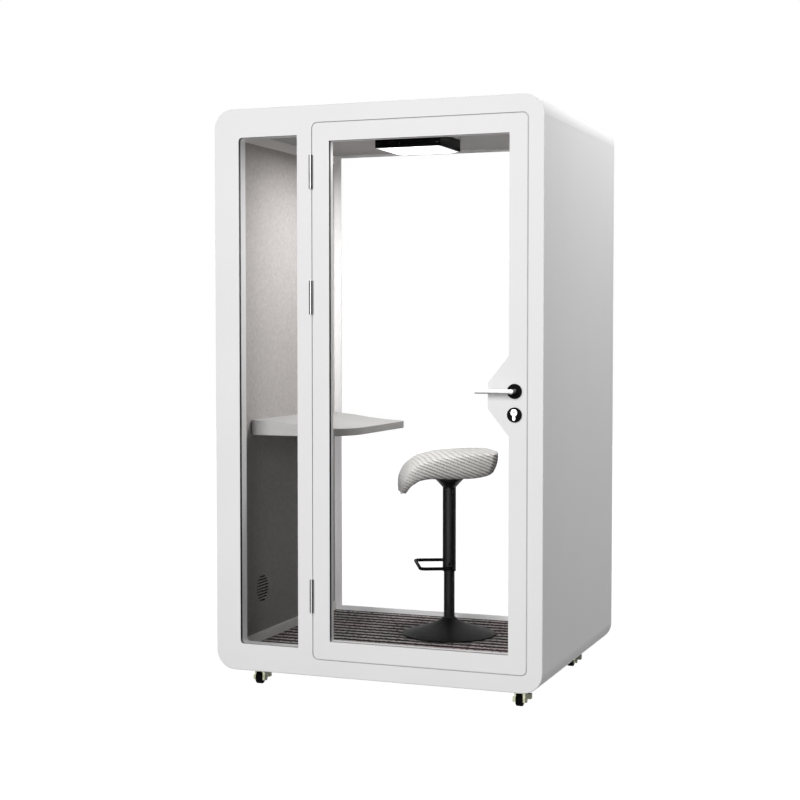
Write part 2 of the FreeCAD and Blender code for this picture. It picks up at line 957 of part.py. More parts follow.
def latch_bolt():
    """Spring latch with its bevelled nose out in the strike."""
    nose = leaf_right + latch_throw
    bolt = block(nose - latch_length, nose, *latch_channel(0.0))
    y = lock_mid_y + latch_thickness / 2
    z = lever_z - latch_height / 2
    bevel = Part.makePolygon(
        [
            V(nose, y, z),
            V(nose, y - latch_bevel, z),
            V(nose - latch_bevel, y, z),
            V(nose, y, z),
        ]
    )
    return bolt.cut(Part.Face(bevel).extrude(V(0, 0, latch_height)))


def dead_bolt():
    """Dead bolt, drawn in."""
    nose = leaf_right - bolt_recess
    return block(nose - bolt_length, nose, *bolt_channel(0.0))


def door_groove():
    """The glazing groove of the door."""
    start = front_y + glass_inset
    end = start + gasket_lip + glass_thickness + gasket_back
    return slab_y(pane_outline(gasket_depth, start), start, end)


def door_glass():
    """Door pane, notched round the widened lock stile."""
    start = front_y + glass_inset + gasket_lip
    return slab_y(pane_outline(glass_bite, start), start, start + glass_thickness)


def door_gasket():
    """Black gasket of the door pane."""
    light = slab_y(pane_outline(0.0, front_y - overrun), front_y - overrun, leaf_back_y + overrun)
    return door_groove().cut(light).cut(door_glass())


def door_frame():
    """Door leaf: one welded frame with the lock's widened stile."""
    leaf = rounded_slab(
        leaf_left, leaf_right, leaf_low, leaf_high, (door_corner,) * 4, front_y, leaf_back_y
    )
    light = slab_y(pane_outline(0.0, front_y - overrun), front_y - overrun, leaf_back_y + overrun)
    hub_hole = rod_y(hub_radius + soft_gap, lever_x, lever_z, front_y - overrun, leaf_back_y + overrun)
    holes = [light, door_groove(), case_block(), hub_hole, cylinder_bar()]
    return leaf.cut(holes + hinge_leaf_screws(1) + forend_screws())


def hinge_stack():
    """Knuckle length and the start of each of the three knuckles, from the hinge's foot."""
    stack = hinge_length - 2 * hinge_head
    knuckle = (stack - 2 * hinge_knuckle_gap) / 3
    starts = [hinge_head + number * (knuckle + hinge_knuckle_gap) for number in range(3)]
    return knuckle, starts


def hinge_leaf(side):
    """The three leaves of one side: the post's (-1) with outer knuckles, the door's (1) with
    the middle one."""
    knuckle, starts = hinge_stack()
    kept = (0, 2) if side < 0 else (1,)
    bore = hinge_pin_radius if side < 0 else hinge_pin_radius + running_gap
    face_x = opening_left if side < 0 else leaf_left
    inner = face_x - side * hinge_leaf_thickness
    leaves = []
    for centre in hinge_centres:
        foot = centre - hinge_length / 2
        y0 = front_y + hinge_leaf_clear
        pieces = [
            block(
                face_x, inner, y0, y0 + hinge_leaf_width, foot + hinge_head, foot + hinge_length - hinge_head
            )
        ]
        for number in kept:
            z0 = foot + starts[number]
            barrel = rod_z(hinge_barrel_radius, hinge_x, hinge_y, z0, z0 + knuckle)
            tab = block(face_x, inner, hinge_y, y0 + hinge_leaf_clear, z0, z0 + knuckle)
            pieces += [barrel, tab]
        leaf = pieces[0].fuse(pieces[1:]).removeSplitter()
        hole = rod_z(bore, hinge_x, hinge_y, foot - overrun, foot + hinge_length + overrun)
        leaves.append(leaf.cut([hole] + hinge_leaf_screws(side)))
    return leaves


def hinge_pins():
    """Three hinge pins with a flat head at either end."""
    pins = []
    for centre in hinge_centres:
        foot = centre - hinge_length / 2
        top = foot + hinge_length
        shaft = rod_z(hinge_pin_radius, hinge_x, hinge_y, foot, top)
        low = rod_z(hinge_barrel_radius, hinge_x, hinge_y, foot, foot + hinge_head)
        high = rod_z(hinge_barrel_radius, hinge_x, hinge_y, top - hinge_head, top)
        pins.append(shaft.fuse([low, high]).removeSplitter())
    return pins


def rose(z, face_y, outward, hole):
    """Round cover plate on the door, with a hole cut through it."""
    disc = rod_y(rose_radius, lever_x, z, face_y, face_y + outward * rose_thickness)
    return disc.cut(hole)


def door_roses():
    """Lever roses and key roses on both faces of the door."""
    neck = rod_y(
        lever_neck_radius + soft_gap, lever_x, lever_z, front_y - rose_thickness, leaf_back_y + rose_thickness
    )
    key = cylinder_bar()
    return [
        rose(lever_z, front_y, -1, neck),
        rose(lever_z, leaf_back_y, 1, neck),
        rose(key_rose_z, front_y, -1, key),
        rose(key_rose_z, leaf_back_y, 1, key),
    ]


def key_cylinder():
    """Key cylinder with its larger keyhole-shaped cap outside, bored for the turning plug."""
    face = front_y - cylinder_proud
    cap_top = cylinder_z
    cap = profile_bar(
        cylinder_cap_radius,
        cylinder_cap_leg,
        cylinder_cap_height,
        cap_top,
        face - cylinder_cap_thickness,
        front_y - rose_thickness,
    )
    bore = rod_y(
        plug_radius + running_gap,
        lever_x,
        cylinder_z,
        face - cylinder_cap_thickness - overrun,
        leaf_back_y + cylinder_proud + overrun,
    )
    return cylinder_bar().fuse(cap).removeSplitter().cut(bore)


def thumb_turn():
    """Key plug outside, joined through the cylinder to the thumb turn inside."""
    face = front_y - cylinder_proud - cylinder_cap_thickness
    end = leaf_back_y + cylinder_proud
    plug = rod_y(plug_radius, lever_x, cylinder_z, face, end + turn_stem)
    knob_start = end + turn_stem
    knob = block(
        lever_x - turn_thickness / 2,
        lever_x + turn_thickness / 2,
        knob_start,
        knob_start + turn_length,
        cylinder_z - turn_width / 2,
        cylinder_z + turn_width / 2,
    )
    keyway = block(
        lever_x - keyway_width / 2,
        lever_x + keyway_width / 2,
        face - overrun,
        face + keyway_depth,
        cylinder_z - keyway_height / 2,
        cylinder_z + keyway_height / 2,
    )
    return plug.fuse(knob).removeSplitter().cut(keyway)


def spindle():
    """Square spindle with the round hub that works the latch."""
    half = spindle_side / 2
    start = front_y - spindle_grip
    end = leaf_back_y + spindle_grip
    bar = block(lever_x - half, lever_x + half, start, end, lever_z - half, lever_z + half)
    hub = rod_y(
        hub_radius, lever_x, lever_z, lock_mid_y - case_thickness / 2, lock_mid_y + case_thickness / 2
    )
    return bar.fuse(hub).removeSplitter()


def lever(face_y, outward):
    """Door lever: round neck and a straight bar that points to the hinges."""
    centre_y = face_y + outward * lever_standoff
    half = lever_bar_depth / 2
    neck = rod_y(lever_neck_radius, lever_x, lever_z, face_y, centre_y + outward * half)
    bar = block(
        lever_x - lever_length,
        lever_x,
        centre_y - half,
        centre_y + half,
        lever_z - lever_bar_height / 2,
        lever_z + lever_bar_height / 2,
    )
    long_edges = [edge for edge in bar.Edges if edge.Length > lever_length - lever_edge]
    bar = bar.makeFillet(lever_edge, long_edges)
    body = neck.fuse(bar).removeSplitter()
    return body.cut(spindle())


def plan_slab(x0, x1, y0, y1, radii, z0, z1):
    """Level slab with rounded corners, in the order near left, near right, far right, far
    left."""
    slab = rounded_slab(x0, x1, y0, y1, radii, -z1, -z0)
    return slab.rotate(V(0, 0, 0), V(1, 0, 0), -90)


def desk_profile():
    """Side view of the desk: flat below, thin at the edge, thicker at the wall."""
    y = desk_near_y
    rise = desk_root_height - desk_edge_height
    blend = desk_depth - desk_edge_flat
    bend = (blend**2 + rise**2) / (4 * rise)
    half_turn = math.asin(blend / 2 / bend) / 2
    run = bend * math.sin(half_turn)
    lift = bend * (1 - math.cos(half_turn))
    wall_x = -inner_x
    blend_x = wall_x + blend
    edge_z = desk_low + desk_edge_height
    root_z = desk_low + desk_root_height
    middle = V(wall_x + blend / 2, y, (edge_z + root_z) / 2)
    outer = Part.Arc(V(blend_x, y, edge_z), V(blend_x - run, y, edge_z + lift), middle)
    inner = Part.Arc(middle, V(wall_x + run, y, root_z - lift), V(wall_x, y, root_z))
    edges = [
        Part.makeLine(V(wall_x, y, desk_low), V(desk_edge_x, y, desk_low)),
        Part.makeLine(V(desk_edge_x, y, desk_low), V(desk_edge_x, y, edge_z)),
        Part.makeLine(V(desk_edge_x, y, edge_z), V(blend_x, y, edge_z)),
        outer.toShape(),
        inner.toShape(),
        Part.makeLine(V(wall_x, y, root_z), V(wall_x, y, desk_low)),
    ]
    return slab_y(Part.Wire(edges), y, y + desk_width)


def desk_top():
    """Wall desk with large rounded corners, let in below for its brackets."""
    far_y = desk_near_y + desk_width
    radii = (desk_root_corner, desk_near_corner, desk_far_corner, desk_root_corner)
    top_z = desk_low + desk_root_height
    plan = plan_slab(-inner_x, desk_edge_x, desk_near_y, far_y, radii, desk_low, top_z)
    desk = plan.common(desk_profile()).Solids[0]
    rim = [
        edge
        for edge in desk.Edges
        if edge.BoundBox.ZMax < desk_low + soft_gap and edge.BoundBox.XMax > -inner_x + soft_gap
    ]
    desk = desk.makeFillet(desk_edge_round, rim)
    return desk.cut(bracket_solids() + desk_screws())


def bracket_places():
    """Y of the two desk brackets."""
    return [mid_y + side * bracket_spacing / 2 for side in (-1, 1)]


def bracket_solids():
    """Two steel angles: an arm under the desk and a leg against the wall."""
    wall_x = -inner_x
    brackets = []
    for y in bracket_places():
        y0, y1 = y - bracket_width / 2, y + bracket_width / 2
        arm = block(wall_x, wall_x + bracket_arm, y0, y1, desk_low, desk_low + bracket_thickness)
        leg = block(wall_x, wall_x + bracket_thickness, y0, y1, desk_low, desk_low + bracket_leg)
        brackets.append(arm.fuse(leg).removeSplitter())
    return brackets


def desk_brackets():
    """The two brackets with their screw holes."""
    return [bracket.cut(bracket_screws() + desk_screws()) for bracket in bracket_solids()]


def bracket_screws():
    """Screws that hold the desk brackets to the left wall."""
    z = desk_low + bracket_leg * bracket_leg_hole_share
    start_x = -inner_x + bracket_thickness
    return [
        rod(bracket_screw_radius, V(start_x, y, z), V(start_x - bracket_screw_length, y, z))
        for y in bracket_places()
    ]


def desk_screws():
    """Screws from the brackets' arms up into the desk."""
    screws = []
    for y in bracket_places():
        for share in bracket_arm_hole_shares:
            x = -inner_x + bracket_arm * share
            screws.append(rod_z(bracket_screw_radius, x, y, desk_low, desk_low + desk_screw_length))
    return screws


def light_box(inset, z0, z1):
    """Block over the ceiling light's outline, drawn in by an even inset."""
    half_x = light_length / 2 - inset
    half_y = light_width / 2 - inset
    return block(light_x - half_x, light_x + half_x, light_y - half_y, light_y + half_y, z0, z1)


def light_housing():
    """Shallow box on the ceiling, open below."""
    hollow = light_box(light_wall, light_low - overrun, ceiling_z - light_wall)
    return light_box(0.0, light_low, ceiling_z).cut(hollow)


def light_diffuser():
    """Plate between the housing's walls that closes it from below."""
    return light_box(light_wall, light_low, light_low + diffuser_thickness)


def led_board():
    """Board with the light sources, under the top of the housing."""
    high = ceiling_z - light_wall
    return light_box(board_margin, high - board_thickness, high)


def fan_housing():
    """Square fan casing with a round bore, a back plate of spokes and the rotor's shaft."""
    outer_x = -felt_back_x - fan_thickness
    plate_x = outer_x + fan_back_plate
    middle = V(outer_x, vent_y, vent_z)
    casing = fan_block(0.0).cut(
        rod(fan_bore_radius, V(outer_x - overrun, vent_y, vent_z), V(overrun - felt_back_x, vent_y, vent_z))
    )
    hub = rod(fan_hub_radius, middle, V(plate_x, vent_y, vent_z))
    shaft_end = plate_x + soft_gap + fan_hub_length
    shaft = rod(fan_shaft_radius, middle, V(shaft_end, vent_y, vent_z))
    reach = fan_bore_radius + soft_gap
    half = fan_spoke_width / 2
    level = block(outer_x, plate_x, vent_y - reach, vent_y + reach, vent_z - half, vent_z + half)
    upright = block(outer_x, plate_x, vent_y - half, vent_y + half, vent_z - reach, vent_z + reach)
    return casing.fuse([hub, shaft, level, upright]).removeSplitter()


def fan_rotor():
    """Fan hub with its pitched blades."""
    start_x = -felt_back_x - fan_thickness + fan_back_plate + soft_gap
    end_x = start_x + fan_hub_length
    hub = rod(fan_hub_radius, V(start_x, vent_y, vent_z), V(end_x, vent_y, vent_z))
    middle = V((start_x + end_x) / 2, vent_y, vent_z)
    blades = []
    for number in range(fan_blade_count):
        half_chord = fan_blade_chord / 2
        half_thick = fan_blade_thickness / 2
        blade = block(
            -half_thick, half_thick, -half_chord, half_chord, fan_hub_radius - soft_gap, fan_rotor_radius
        )
        blade.rotate(V(0, 0, 0), V(0, 0, 1), fan_blade_pitch_deg)
        blade.rotate(V(0, 0, 0), V(1, 0, 0), 360 * number / fan_blade_count)
        blade.translate(middle)
        blades.append(blade)
    bore = rod(
        fan_shaft_radius + running_gap,
        V(start_x - overrun, vent_y, vent_z),
        V(end_x + overrun, vent_y, vent_z),
    )
    rim = rod(fan_rotor_radius, V(start_x, vent_y, vent_z), V(end_x, vent_y, vent_z))
    return hub.fuse(blades).common(rim).removeSplitter().cut(bore)


def gland_place():
    """X and Y of the cable gland, in the rear of the floor frame's first bay."""
    return -straight_x + base_tube + floor_bay() / 2, inner_back_y - base_tube - gland_inset


def gland_body():
    """The part of the gland that passes through the bottom sheet."""
    x, y = gland_place()
    return rod_z(gland_radius, x, y, shell_low, shell_low + gland_body_length)


def cable_gland():
    """Cable gland with its hexagon below the bottom sheet, its nut above and a bore for the
    mains cable."""
    x, y = gland_place()
    sheet_top = shell_low + base_sheet
    low = shell_low - gland_hex_height
    foot = upright_hex(gland_hex_radius, x, y, low, shell_low)
    nut = upright_hex(gland_hex_radius, x, y, sheet_top, sheet_top + gland_nut_height)
    high = shell_low + gland_body_length
    bore = rod_z(gland_bore_radius, x, y, low - overrun, high + overrun)
    return gland_body().fuse([foot, nut]).removeSplitter().cut(bore)


def switch_plate():
    """Light switch's plate on the right wall, with a well for the rocker."""
    half = switch_plate_side / 2
    face_x = inner_x - switch_plate_thickness
    plate = block(face_x, inner_x, switch_y - half, switch_y + half, switch_z - half, switch_z + half)
    half_y = rocker_width / 2 + rocker_clear
    half_z = rocker_length / 2 + rocker_clear
    well = block(
        face_x - overrun,
        inner_x - switch_back,
        switch_y - half_y,
        switch_y + half_y,
        switch_z - half_z,
        switch_z + half_z,
    )
    return plate.cut([well, rocker_pin(running_gap)])


def rocker_pin(growth):
    """The rocker's pivot pin along Y, grown evenly in radius."""
    x = inner_x - switch_plate_thickness - rocker_proud + rocker_thickness / 2
    half = rocker_width / 2 + rocker_clear + rocker_pin_grip + growth
    return rod_y(rocker_pin_radius + growth, x, switch_z, switch_y - half, switch_y + half)


def light_switch():
    """Rocker with its pivot pin, tipped to the on side."""
    face_x = inner_x - switch_plate_thickness
    x0 = face_x - rocker_proud
    half_y, half_z = rocker_width / 2, rocker_length / 2
    rocker = block(
        x0, x0 + rocker_thickness, switch_y - half_y, switch_y + half_y, switch_z - half_z, switch_z + half_z
    )
    pivot = V(x0 + rocker_thickness / 2, switch_y, switch_z)
    rocker.rotate(pivot, V(0, 1, 0), -rocker_swing_deg / 2)
    return rocker.fuse(rocker_pin(0.0)).removeSplitter()


def hex_bar(radius, x0, x1, y, z):
    """Six-sided bar along X."""
    points = [
        V(x0, y + radius * math.cos(math.radians(60 * n)), z + radius * math.sin(math.radians(60 * n)))
        for n in range(7)
    ]
    return Part.Face(Part.makePolygon(points)).extrude(V(x1 - x0, 0, 0))


def upright_hex(radius, x, y, z0, z1):
    """Six-sided bar along Z."""
    bar = hex_bar(radius, z0, z1, 0, 0)
    bar.rotate(V(0, 0, 0), V(0, 1, 0), -90)
    bar.translate(V(x, y, 0))
    return bar


def caster_plates():
    """Four top plates, each with the ring that the swivel turns in."""
    half = caster_plate_side / 2
    plates = []
    for x, y in caster_places:
        plate = block(x - half, x + half, y - half, y + half, plate_low, caster_height)
        ring = rod_z(bearing_radius, x, y, bearing_low, plate_low)
        bore = rod_z(kingpin_radius + running_gap, x, y, bearing_low - overrun, crown_high + kingpin_length)
        plates.append(plate.fuse(ring).removeSplitter().cut([bore] + caster_bolts()))
    return plates


def caster_fork(x, y):
    """Swivel fork with its kingpin, the axle bolt with head and nut, and the brake block."""
    wheel_y = y - caster_trail
    half = fork_leg_width / 2
    crown = block(x - fork_outer, x + fork_outer, wheel_y - half, y, crown_low, crown_high)
    disc = rod_z(crown_radius, x, y, crown_low, crown_high)
    pin = rod_z(kingpin_radius, x, y, crown_low, crown_high + kingpin_length)
    low = wheel_radius - fork_leg_drop
    legs = [
        block(x + side * fork_inner, x + side * fork_outer, wheel_y - half, wheel_y + half, low, crown_high)
        for side in (-1, 1)
    ]
    end = fork_outer + axle_head
    axle = rod(axle_radius, V(x - end, wheel_y, wheel_radius), V(x + end, wheel_y, wheel_radius))
    heads = [
        hex_bar(axle_head_radius, x + side * fork_outer, x + side * end, wheel_y, wheel_radius)
        for side in (-1, 1)
    ]
    bolt = axle.fuse(heads).removeSplitter()
    fork = crown.fuse([disc, pin] + legs).removeSplitter().cut(bolt)
    brake = block(
        x + fork_outer,
        x + fork_outer + brake_length,
        wheel_y - brake_width / 2,
        wheel_y + brake_width / 2,
        brake_above_floor,
        brake_above_floor + brake_height,
    )
    outer = [edge for edge in brake.Edges if edge.BoundBox.XMin > x + fork_outer + soft_gap]
    return [fork, bolt, brake.makeFillet(brake_edge, outer)]


def caster_wheel(x, y):
    """Wheel with eased edges and a shallow recess on both sides."""
    wheel_y = y - caster_trail
    half = wheel_width / 2
    wheel = rod(wheel_radius, V(x - half, wheel_y, wheel_radius), V(x + half, wheel_y, wheel_radius))
    wheel = wheel.makeFillet(wheel_edge, [edge for edge in wheel.Edges if edge.Closed])
    reach = half + overrun
    bore = rod(
        axle_radius + running_gap, V(x - reach, wheel_y, wheel_radius), V(x + reach, wheel_y, wheel_radius)
    )
    recesses = [
        rod(
            wheel_recess_radius,
            V(x + side * (half - wheel_recess_depth), wheel_y, wheel_radius),
            V(x + side * reach, wheel_y, wheel_radius),
        )
        for side in (-1, 1)
    ]
    return wheel.cut([bore] + recesses)


def stool_base():
    """Foot of the stool: a low cone that steepens towards the column, bored for it."""
    neck_z = base_neck_height
    flare = Part.BezierCurve()
    flare.setPoles(
        [
            V(base_radius, 0, base_rim),
            V(base_shoulder_radius, 0, base_shoulder_height),
            V(base_flare_radius, 0, neck_z * base_flare_share),
            V(base_neck_radius, 0, neck_z),
        ]
    )
    corners = [
        V(base_neck_radius, 0, neck_z),
        V(column_radius, 0, neck_z),
        V(column_radius, 0, 0),
        V(base_radius, 0, 0),
        V(base_radius, 0, base_rim),
    ]
    edges = [flare.toShape()] + [Part.makeLine(a, b) for a, b in zip(corners, corners[1:])]
    base = Part.Face(Part.Wire(edges)).revolve(V(0, 0, 0), V(0, 0, 1), 360)
    base.translate(V(stool_x, stool_y, carpet_top))
    return base


def stool_column():
    """Lower tube with the gas spring's bore and, at its top, the guide for the piston."""
    guide_low = column_top - column_guide_length
    tube = rod_z(column_radius, stool_x, stool_y, carpet_top, column_top)
    bore = rod_z(column_bore_radius, stool_x, stool_y, carpet_top + base_rim, guide_low)
    guide = rod_z(piston_radius + running_gap, stool_x, stool_y, guide_low - overrun, column_top + overrun)
    return tube.cut([bore, guide])


def stool_piston():
    """Gas spring's rod with the head that stops it under the guide."""
    head_top = column_top - column_guide_length - stool_rise - soft_gap
    head_low = head_top - piston_head_length
    head = rod_z(column_bore_radius - running_gap, stool_x, stool_y, head_low, head_top)
    shaft = rod_z(piston_radius, stool_x, stool_y, head_low, sleeve_high + piston_grip)
    return head.fuse(shaft).removeSplitter()


def stool_sleeve():
    """Upper tube that slides over the column."""
    outer = rod_z(sleeve_radius, stool_x, stool_y, sleeve_low, sleeve_high)
    inner = rod_z(column_radius + soft_gap, stool_x, stool_y, sleeve_low - overrun, sleeve_high + overrun)
    return outer.cut(inner)


def place_on_stool(shape):
    """Turn a shape from the stool's own frame, where +X is ahead of the sitter, to its place."""
    shape.rotate(V(0, 0, 0), V(0, 0, 1), stool_heading_deg)
    shape.translate(V(stool_x, stool_y, 0))
    return shape


def stool_footrest():
    """Rectangular loop of round rod in front of the sleeve."""
    z = carpet_top + footrest_height
    half = footrest_width / 2
    radius = footrest_corner
    bend = radius * (1 - math.sqrt(1 / 2))
    reach = footrest_reach
    points = []
    for x, y, sx, sy in ((0, -half, 1, 1), (reach, -half, -1, 1), (reach, half, -1, -1), (0, half, 1, -1)):
        along_x = V(x + sx * radius, y, z)
        along_y = V(x, y + sy * radius, z)
        middle = V(x + sx * bend, y + sy * bend, z)
        order = (along_y, middle, along_x) if sx == sy else (along_x, middle, along_y)
        points.append(order)
    edges = []
    for number, (start, middle, end) in enumerate(points):
        edges.append(Part.Arc(start, middle, end).toShape())
        edges.append(Part.makeLine(end, points[(number + 1) % len(points)][0]))
    path = Part.Wire(edges)
    ring = Part.Wire(
        Part.makeCircle(footrest_rod_radius, path.Vertexes[0].Point, path.Edges[0].tangentAt(0))
    )
    loop = path.makePipeShell([ring], True, False)
    loop = place_on_stool(loop)
    return loop.cut(rod_z(sleeve_radius, stool_x, stool_y, sleeve_low, sleeve_high))


def lift_pin(growth):
    """Pivot pin of the lift lever, in the stool's own frame, grown evenly in radius."""
    half = lift_pin_length / 2 + growth
    y = -lift_pivot_reach
    return rod(lift_pin_radius + growth, V(-half, y, lift_z), V(half, y, lift_z))


def stool_mount_plate():
    """Cone and disc under the seat, with the piston's seat and the lever's slot."""
    cone = Part.makeCone(sleeve_radius, cone_radius, cone_height, V(0, 0, sleeve_high))
    disc = rod_z(cone_radius, 0, 0, cone_high, seat_disc_high)
    bore = rod_z(piston_radius + running_gap, 0, 0, sleeve_high - overrun, sleeve_high + piston_grip)
    half = lift_rod_radius + lift_slot_clear
    tail = lift_pivot_reach - lift_tail - lift_slot_clear
    slot_high = sleeve_high + lift_slot_height
    slot = block(-half, half, -cone_radius - overrun, -tail, sleeve_high - overrun, slot_high)
    plate = cone.fuse(disc).removeSplitter().cut([bore, slot, lift_pin(running_gap)])
    return place_on_stool(plate)


def stool_lever():
    """Lift lever on the sitter's right, with its pivot pin and knob."""
    tail = V(0, lift_tail - lift_pivot_reach, lift_z)
    end = V(0, -lift_rod_length, lift_z)
    knob_start = V(0, lift_knob_length - lift_rod_length, lift_z)
    lever_rod = rod(lift_rod_radius, tail, end)
    knob = rod(lift_knob_radius, knob_start, end)
    return place_on_stool(lever_rod.fuse([knob, lift_pin(0.0)]).removeSplitter())


def seat_section(station, drop, lean, thick, wide, ridge):
    """One closed outline across the seat: crown, two bulging sides and the underside."""
    x = seat_ahead - seat_length + seat_length * station
    z = carpet_top + seat_top_height - seat_fall * drop
    tilt = math.radians(lean)
    half_t = seat_thickness * thick / 2
    half_w = seat_width * wide / 2

    def at(across, up):
        return V(x + up * math.sin(tilt), across, z + up * math.cos(tilt))

    shoulder = half_t * ridge
    foot = -half_t * seat_foot_drop_share
    foot_w = half_w * seat_foot_share
    bulge_w = half_w * seat_bulge_share
    waist = (shoulder + foot) / 2
    arcs = [
        (at(-half_w, shoulder), at(0, half_t), at(half_w, shoulder)),
        (at(half_w, shoulder), at(bulge_w, waist), at(foot_w, foot)),
        (at(foot_w, foot), at(0, -half_t), at(-foot_w, foot)),
        (at(-foot_w, foot), at(-bulge_w, waist), at(-half_w, shoulder)),
    ]
    return Part.Wire([Part.Arc(*arc).toShape() for arc in arcs])


def stool_seat():
    """Saddle-shaped upholstered seat that curls down at the front."""
    sections = zip(
        seat_station_shares,
        seat_drop_shares,
        seat_lean_deg,
        seat_thickness_shares,
        seat_width_shares,
        seat_shoulder_shares,
    )
    seat = Part.makeLoft([seat_section(*section) for section in sections], True, False)
    seat = seat.cut(rod_z(cone_radius, 0, 0, sleeve_high, seat_disc_high))
    return place_on_stool(seat)


def frame_screws():
    """Every screw and bolt that stays with the booth's shell."""
    return hinge_leaf_screws(-1) + bracket_screws() + desk_screws() + caster_bolts()


def door_screws():
    """Screws of the hinges' door leaves and of the lock's forend."""
    return hinge_leaf_screws(1) + forend_screws()


def all_nodes():
    """Every sub-part of the booth, under its name."""
    nodes = {
        "front_frame": front_frame(),
        "back_frame": back_frame(),
        "corner_posts": corner_posts(),
        "outer_skins": outer_skins(),
        "insulation": insulation(),
        "felt_panels": felt_panels(),
        "ceiling_panel": ceiling_panel(),
        "trim_strips": trim_strips(),
        "base_frame": base_frame(),
        "floor_deck": floor_deck(),
        "carpet": carpet(),
        "sidelight_glass": sidelight_glass(),
        "back_glass": back_glass(),
        "glazing_gaskets": fixed_gaskets(),
        "door_seal": door_seal(),
        "strike_plate": strike_plate(),
        "hinge_leaves_frame": hinge_leaf(-1),
        "hinge_pins": hinge_pins(),
        "frame_screws": frame_screws(),
        "desk_top": desk_top(),
        "desk_brackets": desk_brackets(),
        "light_housing": light_housing(),
        "light_diffuser": light_diffuser(),
        "led_board": led_board(),
        "fan_housing": fan_housing(),
        "fan_rotor": fan_rotor(),
        "cable_gland": cable_gland(),
        "switch_plate": switch_plate(),
        "light_switch": light_switch(),
        "door_frame": door_frame(),
        "door_glass": door_glass(),
        "door_gasket": door_gasket(),
        "hinge_leaves_door": hinge_leaf(1),
        "door_screws": door_screws(),
        "lock_case": lock_case(),
        "latch_bolt": latch_bolt(),
        "dead_bolt": dead_bolt(),
        "door_roses": door_roses(),
        "key_cylinder": key_cylinder(),
        "thumb_turn": thumb_turn(),
        "spindle": spindle(),
        "lever_outside": lever(front_y, -1),
        "lever_inside": lever(leaf_back_y, 1),
        "caster_plates": caster_plates(),
        "stool_base": stool_base(),
        "stool_column": stool_column(),
        "stool_piston": stool_piston(),
        "stool_sleeve": stool_sleeve(),
        "stool_footrest": stool_footrest(),
        "stool_mount_plate": stool_mount_plate(),
        "stool_lever": stool_lever(),
        "stool_seat": stool_seat(),
    }
    for place, (x, y) in zip(caster_names, caster_places):
        nodes["caster_fork_" + place] = caster_fork(x, y)
        nodes["caster_wheel_" + place] = caster_wheel(x, y)
    return nodes


def save(name, pieces):
    """Write one sub-part, made of one solid or of several separate ones."""
    shapes = pieces if isinstance(pieces, list) else [pieces]
    solids = [solid for shape in shapes for solid in shape.Solids]
    whole = solids[0] if len(solids) == 1 else Part.makeCompound(solids)
    print(name, len(solids), whole.isValid(), round(sum(solid.Volume for solid in solids)))
    whole.exportStep("parts/" + name + ".step")


def main():
    """Build the booth and write its parts."""
    os.makedirs("parts", exist_ok=True)
    for name, pieces in all_nodes().items():
        save(name, pieces)


if __name__ == "__main__":
    main()
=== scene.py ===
"""Looks of the office booth: finishes of every sub-part, the upholstered seat, the ribbed
carpet, the lights and the camera.

Metres, in the part's own frame: +Z up, +X to the right in front of the door, -Y outwards.
"""

import math

import bpy
import numpy as np
from bpy.props import FloatProperty, FloatVectorProperty, PointerProperty
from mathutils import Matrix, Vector


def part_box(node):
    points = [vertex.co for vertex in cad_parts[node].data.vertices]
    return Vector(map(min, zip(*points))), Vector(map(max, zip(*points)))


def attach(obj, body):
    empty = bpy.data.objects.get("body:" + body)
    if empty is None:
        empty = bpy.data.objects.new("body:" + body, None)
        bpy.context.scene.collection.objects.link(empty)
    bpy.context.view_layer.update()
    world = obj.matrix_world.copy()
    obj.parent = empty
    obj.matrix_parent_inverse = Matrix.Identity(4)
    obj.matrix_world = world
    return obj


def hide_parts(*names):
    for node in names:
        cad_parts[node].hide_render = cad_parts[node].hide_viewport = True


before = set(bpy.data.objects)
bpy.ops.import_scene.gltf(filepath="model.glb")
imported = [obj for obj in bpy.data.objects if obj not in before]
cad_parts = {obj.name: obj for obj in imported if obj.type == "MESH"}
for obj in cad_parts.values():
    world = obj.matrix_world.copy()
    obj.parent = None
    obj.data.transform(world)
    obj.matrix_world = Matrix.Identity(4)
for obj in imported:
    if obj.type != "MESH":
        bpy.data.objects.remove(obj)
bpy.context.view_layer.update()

bl_info = {
    "name": "Office booth looks",
    "version": (1, 0, 0),
    "blender": (4, 5, 0),
    "location": "3D View > Sidebar > Booth",
    "description": "Finishes, soft parts, lights and camera of the office booth",
    "category": "Object",
}

# The carpet's bevelled border, and how far the felt's cut sides reach in from its back.
CARPET_EDGE = 0.0012
FELT_CUT = 0.0105

# Shares of the casters' width that are bright; beyond them the zinc is painted with shade.
FORK_SHARE = 0.67
PLATE_SHARE = 0.97


def colour_property(name, description, default):
    """A colour that a user may change."""
    return FloatVectorProperty(
        name=name, description=description, default=default, size=3, min=0.0, max=1.0, subtype="COLOR"
    )


def length_property(name, description, default):
    """A length in metres that a user may change."""
    return FloatProperty(name=name, description=description, default=default, min=0.0, unit="LENGTH")


def angle_property(name, description, degrees):
    """An angle that a user may change."""
    return FloatProperty(name=name, description=description, default=math.radians(degrees), subtype="ANGLE")


def power_property(name, description, default):
    """A light's power in watts, or its strength, that a user may change."""
    return FloatProperty(name=name, description=description, default=default, min=0.0)


def ratio_property(name, description, default):
    """A plain number that a user may change."""
    return FloatProperty(name=name, description=description, default=default)


